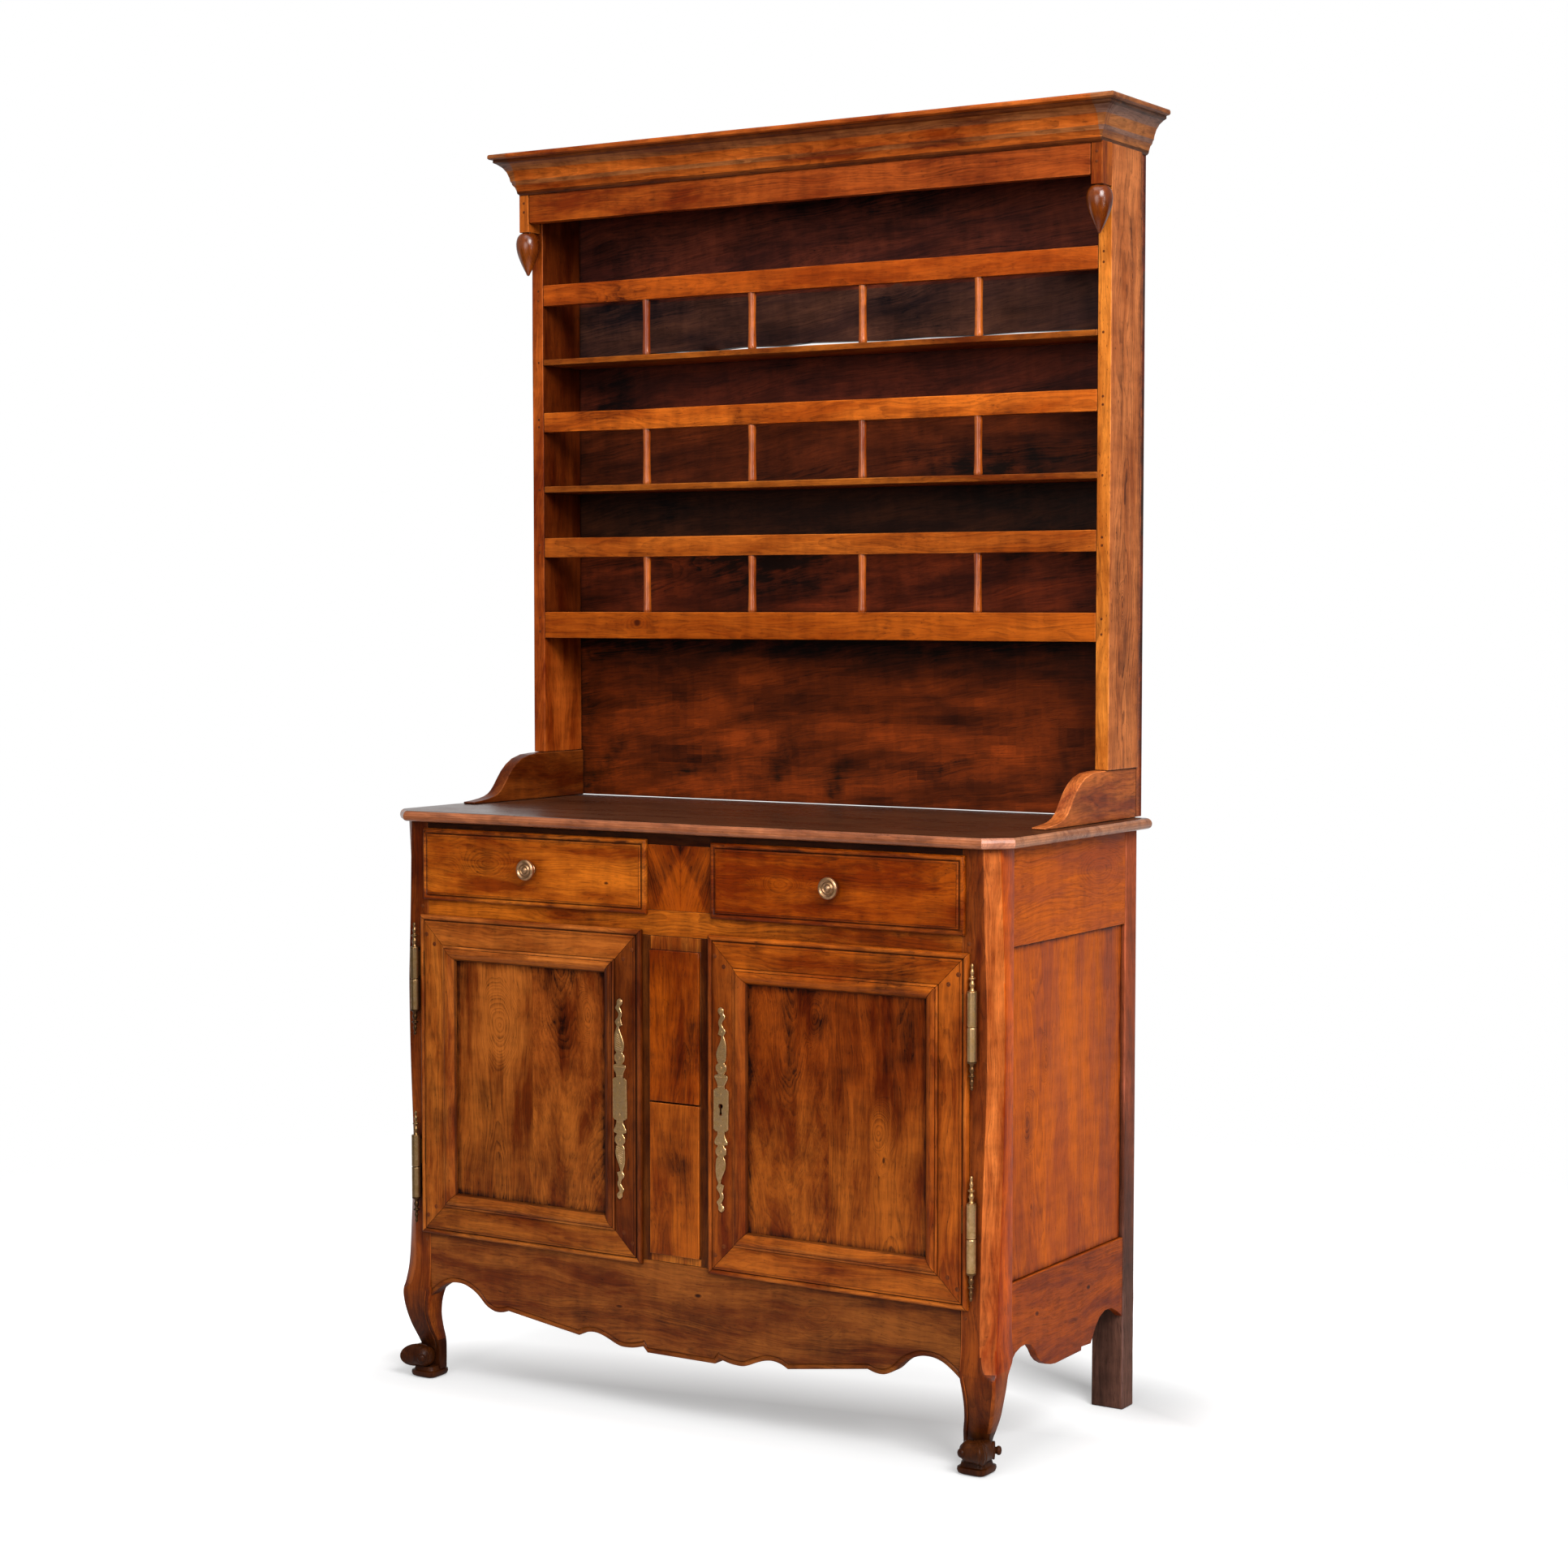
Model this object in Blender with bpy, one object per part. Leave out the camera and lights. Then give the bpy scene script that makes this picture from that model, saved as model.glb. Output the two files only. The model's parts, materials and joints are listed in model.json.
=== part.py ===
"""Two-part buffet: a plate rack on a cupboard with two drawers and two doors.

Metres, +Z up, front towards -Y, origin on the floor under the middle of the piece.
"""

import math

import bmesh
import bpy
from mathutils import Matrix, Vector

# Units and working clearances
MM = 0.001
GAP = 0.3 * MM
RUN = 1.5 * MM

# Overall sizes
TABLE_HEIGHT = 0.980
TOTAL_HEIGHT = 2.130
HALF_TABLE = 0.597
HALF_CARCASE = 0.574
FRONT = -0.237
BACK = 0.258

# Table top
TABLE_FRONT = -0.253
TABLE_BACK = 0.267
TABLE_THICK = 0.018
TABLE_CANT = 0.038
TABLE_EDGE_MM = [(5, 0), (1.5, 2), (0, 6), (0, 10), (1.5, 14), (4.5, 17), (8, 18)]
UNDER_TABLE = TABLE_HEIGHT - TABLE_THICK - GAP

# Posts and legs
POST_INNER = 0.518
POST_DEPTH = 0.063
POST_BACK = FRONT + POST_DEPTH
REAR_INNER = 0.517
REAR_FRONT = 0.217
# height, inner side, outer side, front, back (both from the frame face), cant across, cant along
LEG_ROWS_MM = [
    (961.7, 518, 574, 0, 63, 20.5, 18),
    (833, 518, 574, 0, 63, 17, 28),
    (735, 518, 574, 0, 63, 13.5, 35),
    (675, 518, 574, 0, 63, 12, 37),
    (551, 518, 574, 0, 63, 14, 34),
    (426, 518, 574, 0, 63, 19, 27),
    (338, 518, 574, 0, 63, 21.5, 21),
    (251, 518, 574, 0, 63, 23, 15),
    (215, 518, 574, 0, 63, 23.5, 12),
    (190, 518, 575, -1, 63, 23.5, 10.5),
    (172, 518, 577, -3, 60, 23, 9.5),
    (160, 518, 578.5, -4.5, 49, 19, 8),
    (150, 518, 579, -5, 41, 5, 4),
    (132, 521.5, 578.3, -4.3, 37, 4, 4),
    (109, 523, 574.5, -0.5, 35.5, 4, 4),
    (86, 520.5, 569, 6, 36.5, 4, 4),
    (64, 515, 561, 13.5, 37, 4, 4),
    (46, 513.5, 555, 17, 36.5, 4, 4),
    (13, 513.5, 553, 18, 36, 4, 4),
]
SCROLL_CENTRE = Vector((0.548, FRONT + 0.004, 0.037))
# The roll lies across the corner; the right one is carved with its front end a little lower
SCROLL_ACROSS, SCROLL_ALONG = 0.84, 0.54
SCROLL_RISE = {-1: 0.02, 1: 0.15}
SCROLL_MM = [
    (0, -38), (5.5, -38), (8, -35), (8, -30), (12, -29), (15.5, -29), (18.5, -25), (18.5, 3), (20, 5),
    (20, 8), (18, 9.5), (19.5, 12), (18, 24), (14, 27), (7.5, 29), (7.5, 34), (5.5, 37), (0, 37),
]
PAD_CENTRE = Vector((0.537, FRONT + 0.018, 0.0))
PAD_MM = [(0, 0), (20, 0), (25, 3), (26, 8), (24, 13), (18, 17), (0, 17)]

# Front frame
RAIL_THICK = 0.024
DRAWER_LOW = 0.837
DRAWER_HIGH = 0.943
HALF_DIVIDER = 0.070
DOOR_LOW = 0.262
DOOR_HIGH = 0.795
HALF_STILE = 0.073
# The stile between the doors stands a little left of the middle
STILE_SHIFT = -0.008
STILE_THICK = 0.026
HALF_BOARD = 0.048
BOARD_PROUD = 0.006
BOARD_RUNS = [(0.275, 0.5235), (0.526, 0.772)]
FRONT_SCALLOP_MM = [
    (0, 107), (66, 107), (75, 116), (86, 113), (100, 110.5), (118, 110), (131, 113.5), (144, 119),
    (160, 124.5), (175, 126.5), (191, 124), (205, 117.5), (352, 138.5), (366, 134.5), (380, 134),
    (392, 138), (402, 144), (416, 157), (430, 166), (446, 172), (460, 173.5), (474, 172),
    (488, 167), (502, 158), (512, 150), (517.7, 145),
]

# Sides
SIDE_INNER = 0.549
SIDE_OUTER = 0.573
PANEL_INNER = 0.556
PANEL_OUTER = 0.568
APRON_INNER = 0.559
SIDE_RAIL_LOW = 0.808
SIDE_APRON_HIGH = 0.289
SIDE_SCALLOP_MM = [
    (-173.7, 168), (-160, 178), (-143, 183), (-124, 184), (-108, 179), (-96, 168), (-87, 156),
    (-75, 146), (-58, 138), (-40, 133.5), (-24, 131.5), (67, 132), (67.5, 138), (101, 136), (108, 146),
    (118, 160), (133, 173), (152, 180), (176, 179), (198, 169), (216.7, 157),
]

# Inside the lower stage
BACK_PANEL = (0.242, 0.256)
BACK_PANEL_LOW = 0.230
FLOOR = (0.2435, 0.2615)
SHELF = (0.520, 0.538)
SHELF_FRONT = -0.165
RUNNER = (0.8185, 0.8365)
RUNNER_BAR = 0.055
GUIDE_HIGH = 0.852
GUIDE_WIDTH = 0.014

# Lipped drawer fronts and doors
LIP = 0.0095
DRAWER_NEAR, DRAWER_FAR = 0.0625, 0.5245
DRAWER_LIP_LOW, DRAWER_LIP_HIGH = 0.829, 0.951
DRAWER_EDGE_MM = [
    (0, 0.3), (0, 4), (2, 6.6), (5, 7.6), (8, 6.6), (10, 4.2), (14, 4.4), (17, 6), (19, 8.4), (21, 8.8),
]
BODY_DEPTH = 0.014
BOX_WALL = 0.010
BOX_BOTTOM = 0.008
BOX_NEAR, BOX_FAR = 0.0735, 0.5145
BOX_LOW, BOX_HIGH = 0.8385, 0.925
BOX_BACK = 0.200
KNOB_HEIGHT = 0.891
KNOB_MM = [
    (0, 0), (13, 0), (14.5, 1.5), (13, 3.5), (7, 5.5), (6, 11), (9, 15), (15, 17.5), (17.5, 21),
    (17, 24.5), (14, 26.5), (12.8, 25.6), (8.5, 26.4), (7, 28.6), (0, 29),
]
DOOR_NEAR, DOOR_FAR = 0.065, 0.532
DOOR_LIP_LOW, DOOR_LIP_HIGH = 0.254, 0.803
HINGE_LIP = 0.0155
FRAME_WIDTH = 0.075
FRAME_FACE = 0.0082
FRAME_FRONT_MM = [
    (0, 0.3), (0, 4), (2, 6.8), (5, 7.8), (8, 6.8), (9.5, 5.4), (11, 7.4), (12, 8.2), (55, 8.2),
    (57, 9.2), (60, 12), (65, 12.6), (69, 10.4), (72, 6.2), (75, 4),
]
GROOVE_DEPTH = 0.006
PANEL_FRONT, PANEL_REAR = 0.001, -0.007

# Brass and iron
HINGE_X = 0.541
HINGE_Y = FRONT - 0.010
HINGE_MIDDLES = (0.692, 0.368)
BARREL = 0.054
BARREL_RADIUS = 0.0075
PIN_RADIUS, PIN_BORE = 0.003, 0.0036
PIN_LENGTH, BORE_LENGTH = 0.030, 0.033
LEAF_THICK = 0.0020
LEAF_RUN = (0.006, 0.048)
DOOR_LEAF = (0.002, 0.033)
DOOR_LEAF_Y = 0.0045
FRAME_LEAF = (0.005, 0.032)
FINIAL_MM = [
    (4.5, 1.5), (4.2, 5), (7, 9), (4, 13), (3.6, 15), (7, 20), (3, 25.5), (2.6, 28), (4.8, 32),
    (2.6, 36), (3.8, 40), (0, 44),
]
# From each door's closing edge to the middle of its plate: they are not set alike
PLATE_IN = {-1: 0.0400, 1: 0.0285}
PLATE_Z = 0.5235
PLATE_THICK = 0.002
# Half outline of the escutcheon up one side and down the other; the lower half is it turned round
PLATE_MM = [
    (14, 0), (14.5, 32), (7, 34.5), (6.8, 40), (11.8, 47), (13, 52), (7, 56), (6.8, 59), (11, 64),
    (11.8, 68), (10.5, 73), (6.5, 77), (8.8, 80), (9.4, 86), (8.4, 92), (9.4, 98), (8.8, 107),
    (7.8, 115), (5, 120), (9, 126), (5.5, 130), (7.8, 132), (3.4, 135), (2.4, 140), (5.2, 145),
    (8.4, 151), (6, 155), (5.6, 160), (2.8, 164), (-1.5, 165), (-5, 161.5), (-4.6, 156), (-2.6, 152),
    (-3.8, 145), (-5, 139), (-4.6, 132), (-5.4, 122), (-6.4, 118), (0.5, 115), (-1.6, 107), (-6.2, 98),
    (-9.2, 88), (-7, 79), (-5.6, 76), (-9.6, 72), (-10.2, 66), (-8.6, 61), (-5.6, 58), (-11.6, 55),
    (-12.6, 51), (-9.4, 47), (-7, 40), (-6, 36), (-13.6, 34), (-14, 30),
]
KEYHOLE_MM = [
    (-2.4, -8.4), (0, -9.4), (2.4, -8.4), (2.6, -5.6), (1.6, -3.4), (1.6, 2), (3.4, 4), (3.6, 7),
    (2, 9.2), (-2, 9.2), (-3.6, 7), (-3.4, 4), (-1.6, 2), (-1.6, -3.4), (-2.6, -5.6),
]
KEYHOLE_DEPTH = 0.026
# The bolt, drawn back: it shoots 12 mm towards the stile, and the keeper leaves room for that
BOLT_X = (0.068, 0.110)
BOLT_Y = (0.0045, 0.0095)
BOLT_Z = (0.5115, 0.5355)
BOLT_PLAY = 0.0008
KEEPER_DEPTH = 0.016

# Upper stage
UPPER_FRONT = 0.142
UPPER_BACK = 0.275
BOARD_THICK = 0.020
UPPER_OUTER = 0.573
UPPER_INNER = UPPER_OUTER - BOARD_THICK
BACK_FRONT = UPPER_BACK - BOARD_THICK
BACK_LOW = 0.9835
TOP_BOARD = 0.018
UNDER_TOP = TOTAL_HEIGHT - TOP_BOARD
BRACKET_INNER = 0.549
BRACKET_HIGH = 1.0627
BRACKET_MM = [
    (-71, 980.3), (-71, 984), (-50, 985.5), (-29, 988), (-14, 991), (-3, 995), (6, 1001), (14, 1009),
    (25, 1022), (36, 1034), (50, 1045), (68, 1054.5), (92, 1060.5), (118, 1062.2),
]
CORNICE_LOW = 2.060
CORNICE_MM = [
    (2, 2060), (5, 2063), (6, 2068), (8, 2074), (11.5, 2078), (12, 2081), (14, 2084), (15, 2090),
    (18.5, 2100), (24, 2108), (31, 2113.5), (36, 2116), (36, 2120.5), (41, 2121.5), (43, 2123.5),
    (43, 2127.5), (41.5, 2130),
]
FRIEZE_FRONT = 0.106
FRIEZE_LOW = 2.010
BLOCK_FRONT = 0.105
BLOCK_LOW = 1.994
DROP_Y = 0.1175
DROP_MM = [
    (0, 3), (9, 3), (9.5, 0), (15.5, -3), (21, -9), (23.5, -17), (23, -26), (20, -38), (15, -51),
    (8.5, -64), (4, -71), (0, -75),
]
SHELF_RUNS = [(1.760, 1.770), (1.532, 1.543)]
BOTTOM_SHELF = (1.300, 1.317)
BOTTOM_RAIL_LOW = 1.270
PLATE_RAILS = [(1.866, 1.903), (1.640, 1.675), (1.415, 1.450)]
RAIL_DEPTH = 0.018
SPINDLE_SPACING = 0.2215
SPINDLE_MM = [(7.6, 0), (7.8, 5), (6.2, 20), (5.6, 48), (6.2, 76), (7.6, 92)]
# Split along the upper back, where two boards have shrunk apart
SPLIT_HEIGHT = 1.7815
SPLIT_MM = [
    (-398, 0.4), (-340, 1.4), (-262, 0.7), (-205, 2.6), (-120, 1.1), (-66, 3.6), (20, 2.0), (84, 1.0),
    (170, 2.2), (262, 0.9), (345, 2.1), (420, 1.0), (492, 0.4),
]

# Turning detail
FINE, PLAIN = 16, 8


def scaled(rows):
    """Rows of millimetres as metres."""
    return [tuple(value * MM for value in row) for row in rows]


def linear(code):
    """An sRGB hex colour as linear RGBA."""
    parts = [int(code[k : k + 2], 16) / 255 for k in (0, 2, 4)]
    curve = [c / 12.92 if c <= 0.04045 else ((c + 0.055) / 1.055) ** 2.4 for c in parts]
    return (*curve, 1.0)


def finish(name, code, roughness, metallic=0.0):
    made = bpy.data.materials.new(name)
    made.use_nodes = True
    shader = made.node_tree.nodes["Principled BSDF"]
    shader.inputs["Base Color"].default_value = linear(code)
    shader.inputs["Roughness"].default_value = roughness
    shader.inputs["Metallic"].default_value = metallic
    made.diffuse_color = linear(code)
    return made


def make(name, points, faces, look):
    """One closed mesh object, its faces turned outwards."""
    mesh = bpy.data.meshes.new(name)
    mesh.from_pydata([tuple(point) for point in points], [], faces)
    shape = bmesh.new()
    shape.from_mesh(mesh)
    bmesh.ops.recalc_face_normals(shape, faces=shape.faces)
    shape.to_mesh(mesh)
    shape.free()
    mesh.materials.append(look)
    made = bpy.data.objects.new(name, mesh)
    bpy.context.scene.collection.objects.link(made)
    return made


def loft(name, rings, look):
    """A skin through rings of equal length, closed by a face at each end."""
    count = len(rings[0])
    points = [point for ring in rings for point in ring]
    faces = [tuple(range(count)), tuple(range(len(points) - count, len(points)))]
    for row in range(len(rings) - 1):
        for k in range(count):
            a, b = row * count + k, row * count + (k + 1) % count
            faces.append((a, b, b + count, a + count))
    return make(name, points, faces, look)


def prism(name, outline, axis, low, high, look):
    """An outline in the other two axes, drawn out along this one."""
    place = {
        "X": lambda at, u, v: (at, u, v),
        "Y": lambda at, u, v: (u, at, v),
        "Z": lambda at, u, v: (u, v, at),
    }[axis]
    return loft(name, [[place(at, u, v) for u, v in outline] for at in (low, high)], look)


def box(name, x, y, z, look):
    (x0, x1), (y0, y1), (z0, z1) = sorted(x), sorted(y), sorted(z)
    return prism(name, [(x0, y0), (x1, y0), (x1, y1), (x0, y1)], "Z", z0, z1, look)


def turned(name, profile, matrix, sides, look):
    """A lathe piece: (radius, height) rows from the axis to the axis, placed by a matrix."""
    points, rings = [], []
    for radius, height in profile:
        turns = sides if radius > 0 else 1
        rings.append(range(len(points), len(points) + turns))
        for k in range(turns):
            angle = math.tau * k / sides
            points.append(matrix @ Vector((radius * math.cos(angle), radius * math.sin(angle), height)))
    faces = []
    for lower, upper in zip(rings, rings[1:]):
        for k in range(sides):
            near = [lower[k % len(lower)], lower[(k + 1) % sides % len(lower)]]
            far = [upper[(k + 1) % sides % len(upper)], upper[k % len(upper)]]
            faces.append(tuple(dict.fromkeys(near + far)))
    return make(name, points, faces, look)


def combine(target, tools, operation):
    """The target with every tool united with it or cut out of it."""
    for tool in tools:
        modifier = target.modifiers.new(operation, "BOOLEAN")
        modifier.operation, modifier.solver, modifier.object = operation, "EXACT", tool
    graph = bpy.context.evaluated_depsgraph_get()
    mesh = bpy.data.meshes.new_from_object(target.evaluated_get(graph))
    target.modifiers.clear()
    target.data = mesh
    for tool in tools:
        bpy.data.objects.remove(tool)
    return target


def add(target, *tools):
    return combine(target, tools, "UNION")


def cut(target, *tools):
    return combine(target, tools, "DIFFERENCE")


def carry(name, place, pieces):
    """An empty on the joint's axis, with the moving pieces under it."""
    pivot = bpy.data.objects.new(name, None)
    bpy.context.scene.collection.objects.link(pivot)
    pivot.location = place
    for piece in pieces:
        piece.parent = pivot
        piece.matrix_parent_inverse = Matrix.Translation(place).inverted()


def both_ways(half):
    """A half outline from the middle outwards, with its mirror image before it."""
    return [(-x, z) for x, z in reversed(half) if x] + list(half)


def table_top():
    rings = []
    for inset, height in scaled(TABLE_EDGE_MM):
        slope = inset * math.tan(math.pi / 8)
        side, front, back = HALF_TABLE - inset, TABLE_FRONT + inset, TABLE_BACK - inset
        ahead, along = HALF_TABLE - TABLE_CANT - slope, TABLE_FRONT + TABLE_CANT + slope
        half = [(ahead, front), (side, along), (side, back)]
        ring = half + [(-x, y) for x, y in reversed(half)]
        rings.append([(x, y, TABLE_HEIGHT - TABLE_THICK + height) for x, y in ring])
    loft("table_top", rings, WOOD_TOP)


def front_leg(side, name):
    rings = []
    for height, inner, outer, front, back, across, along in scaled(LEG_ROWS_MM):
        near, far = FRONT + front, FRONT + back
        ring = [(inner, near), (outer - across, near), (outer, near + along), (outer, far), (inner, far)]
        rings.append([(side * x, y, height) for x, y in ring])
    leg = loft(name, rings, WOOD)
    centre = Vector((side * SCROLL_CENTRE.x, SCROLL_CENTRE.y, SCROLL_CENTRE.z))
    lying = Vector((side * SCROLL_ACROSS, SCROLL_ALONG, SCROLL_RISE[side])).to_track_quat("Z", "Y")
    place = Matrix.Translation(centre) @ lying.to_matrix().to_4x4()
    scroll = turned("scroll", scaled(SCROLL_MM), place, FINE, WOOD)
    foot = Matrix.Translation((side * PAD_CENTRE.x, PAD_CENTRE.y, PAD_CENTRE.z))
    pad = turned("pad", scaled(PAD_MM), foot, FINE, WOOD)
    add(leg, scroll, pad)
    slots = []
    for middle in HINGE_MIDDLES:
        half = LEAF_THICK / 2 + GAP
        depth = (FRONT - MM, HINGE_Y + FRAME_LEAF[1] + GAP)
        run = (middle - LEAF_RUN[1] - GAP, middle - LEAF_RUN[0] + GAP)
        slots.append(box("slot", (side * HINGE_X - half, side * HINGE_X + half), depth, run, WOOD))
    cut(leg, *slots)


def lower_frame():
    behind = FRONT + RAIL_THICK
    between = (GAP - POST_INNER, POST_INNER - GAP)
    box("top_rail", between, (FRONT, behind), (DRAWER_HIGH + GAP, UNDER_TABLE), WOOD)
    box("drawer_rail", between, (FRONT, behind), (DOOR_HIGH + GAP, DRAWER_LOW - GAP), WOOD)
    middle = (-HALF_DIVIDER, HALF_DIVIDER)
    box("drawer_divider", middle, (FRONT, behind), (DRAWER_LOW, DRAWER_HIGH), WOOD)
    edge = both_ways(scaled(FRONT_SCALLOP_MM))
    top = [(POST_INNER - GAP, DOOR_LOW - GAP), (GAP - POST_INNER, DOOR_LOW - GAP)]
    prism("front_apron", edge + top, "Y", FRONT, behind, WOOD)
    stile = box(
        "centre_stile",
        (STILE_SHIFT - HALF_STILE, STILE_SHIFT + HALF_STILE),
        (FRONT, FRONT + STILE_THICK),
        (DOOR_LOW, DOOR_HIGH),
        WOOD,
    )
    board_x = (STILE_SHIFT - HALF_BOARD, STILE_SHIFT + HALF_BOARD)
    boards = [box("board", board_x, (FRONT - BOARD_PROUD, FRONT + MM), run, WOOD) for run in BOARD_RUNS]
    add(stile, *boards)
    keeper = box(
        "keeper",
        (STILE_SHIFT + HALF_STILE - KEEPER_DEPTH, STILE_SHIFT + HALF_STILE + MM),
        (FRONT + BOLT_Y[0] - BOLT_PLAY, FRONT + BOLT_Y[1] + BOLT_PLAY),
        (BOLT_Z[0] - BOLT_PLAY, BOLT_Z[1] + BOLT_PLAY),
        WOOD,
    )
    cut(stile, keeper)


def lower_side(side, tail):
    run = (POST_BACK + GAP, REAR_FRONT - GAP)
    rear = (side * REAR_INNER, side * HALF_CARCASE)
    box("leg_rear_" + tail, rear, (REAR_FRONT, BACK), (0, UNDER_TABLE), WOOD)
    thick = (side * SIDE_INNER, side * SIDE_OUTER)
    box("side_rail_" + tail, thick, run, (SIDE_RAIL_LOW + GAP, UNDER_TABLE), WOOD)
    box(
        "side_panel_" + tail,
        (side * PANEL_INNER, side * PANEL_OUTER),
        run,
        (SIDE_APRON_HIGH + GAP, SIDE_RAIL_LOW - GAP),
        WOOD,
    )
    edge = scaled(SIDE_SCALLOP_MM) + [(run[1], SIDE_APRON_HIGH), (run[0], SIDE_APRON_HIGH)]
    prism("side_apron_" + tail, edge, "X", *sorted((side * APRON_INNER, side * SIDE_OUTER)), WOOD)


def notched(half, front):
    """A board that fills the cupboard, cut round the posts and the rear legs."""
    back = BACK_PANEL[0] - GAP
    post_x, post_y = POST_INNER - GAP, POST_BACK + GAP
    rear_x, rear_y = REAR_INNER - GAP, REAR_FRONT - GAP
    right = [(half, rear_y), (rear_x, rear_y), (rear_x, back)]
    if front < POST_BACK:
        right = [(post_x, front), (post_x, post_y), (half, post_y)] + right
    else:
        right = [(half, front)] + right
    return right + [(-x, y) for x, y in reversed(right)]


def lower_inside():
    behind = FRONT + STILE_THICK + GAP
    between = (GAP - REAR_INNER, REAR_INNER - GAP)
    box("lower_back", between, BACK_PANEL, (BACK_PANEL_LOW, UNDER_TABLE), WOOD_DARK)
    prism("cupboard_floor", notched(APRON_INNER - GAP, behind), "Z", *FLOOR, WOOD_DARK)
    prism("cupboard_shelf", notched(PANEL_INNER - GAP, SHELF_FRONT), "Z", *SHELF, WOOD_DARK)
    frame = prism("runner_frame", notched(SIDE_INNER - GAP, behind), "Z", *RUNNER, WOOD_DARK)
    hole_y = (behind + RUNNER_BAR, BACK_PANEL[0] - RUNNER_BAR)
    hole_z = (RUNNER[0] - MM, RUNNER[1] + MM)
    near, far = HALF_DIVIDER + RUNNER_BAR / 2, POST_INNER - RUNNER_BAR
    cut(frame, *[box("hole", (side * near, side * far), hole_y, hole_z, WOOD_DARK) for side in (-1, 1)])
    guide_y, guide_z = (POST_BACK + RUN, BOX_BACK), (RUNNER[1] - MM, GUIDE_HIGH)
    outer, inner = BOX_FAR + RUN, BOX_NEAR - RUN
    guides = [box("guide", (-inner, inner), guide_y, guide_z, WOOD_DARK)]
    for side in (-1, 1):
        across = (side * outer, side * (outer + GUIDE_WIDTH))
        guides.append(box("guide", across, guide_y, guide_z, WOOD_DARK))
    add(frame, *guides)


def drawer(side, tail):
    middle = (DRAWER_NEAR + DRAWER_FAR) / 2
    body = FRONT + BODY_DEPTH

    def ring(inset, low_inset, y):
        x0, x1 = DRAWER_NEAR + inset, DRAWER_FAR - inset
        z0, z1 = DRAWER_LIP_LOW + low_inset, DRAWER_LIP_HIGH - low_inset
        return [(side * x, y, z) for x, z in ((x0, z0), (x1, z0), (x1, z1), (x0, z1))]

    rings = [ring(LIP, LIP, body), ring(LIP, LIP, FRONT - GAP)]
    rings += [ring(inset, inset, FRONT - proud) for inset, proud in scaled(DRAWER_EDGE_MM)]
    front = loft("drawer_front_" + tail, rings, WOOD)
    across = (side * BOX_NEAR, side * BOX_FAR)
    case = box("drawer_box_" + tail, across, (body + GAP, BOX_BACK), (BOX_LOW, BOX_HIGH), PINE)
    hollow = box(
        "hollow",
        (side * (BOX_NEAR + BOX_WALL), side * (BOX_FAR - BOX_WALL)),
        (body - MM, BOX_BACK - BOX_WALL),
        (BOX_LOW + BOX_BOTTOM, BOX_HIGH + MM),
        PINE,
    )
    cut(case, hollow)
    face = FRONT - DRAWER_EDGE_MM[-1][1] * MM - GAP
    facing = Matrix.Rotation(math.pi / 2, 4, "X")
    facing = Matrix.Translation((side * middle, face, KNOB_HEIGHT)) @ facing
    knob = turned("drawer_knob_" + tail, scaled(KNOB_MM), facing, FINE, BRASS)
    carry("drawer_slide_" + tail, Vector((side * middle, FRONT, KNOB_HEIGHT)), [front, case, knob])


def frame_section(lip):
    """Across one door member from its lip to the panel opening: (distance in, distance proud)."""
    front = scaled(FRAME_FRONT_MM)
    groove = FRAME_WIDTH - GROOVE_DEPTH
    inside = [
        (FRAME_WIDTH, PANEL_FRONT + GAP),
        (groove, PANEL_FRONT + GAP),
        (groove, PANEL_REAR - GAP),
        (FRAME_WIDTH, PANEL_REAR - GAP),
        (FRAME_WIDTH, -BODY_DEPTH),
    ]
    return front + inside + [(lip, -BODY_DEPTH), (lip, GAP)]


def member(name, section, place, length):
    """A door member: its section swept along its length, mitred at both ends."""
    rings = []
    for end in (0, 1):
        ring = []
        for inset, proud in section:
            along = inset + GAP if end == 0 else length - inset - GAP
            ring.append(place(inset, along, FRONT - proud))
        rings.append(ring)
    return loft(name, rings, WOOD)


def door_near(side):
    """How far a door's closing edge is from the middle of the piece."""
    return DOOR_NEAR + side * STILE_SHIFT


def escutcheon(side, tail):
    half = scaled(PLATE_MM)
    middle = door_near(side) + PLATE_IN[side]
    outline = half + [(-x, -z) for x, z in half]
    face = FRONT - FRAME_FACE - GAP
    placed = [(side * (middle + x), PLATE_Z + z) for x, z in outline]
    return prism("escutcheon_" + tail, placed, "Y", face - PLATE_THICK, face, BRASS)


def keyhole(front, back):
    middle = door_near(1) + PLATE_IN[1]
    outline = [(middle + x, PLATE_Z + z) for x, z in scaled(KEYHOLE_MM)]
    return prism("keyhole", outline, "Y", front, back, BRASS)


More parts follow.
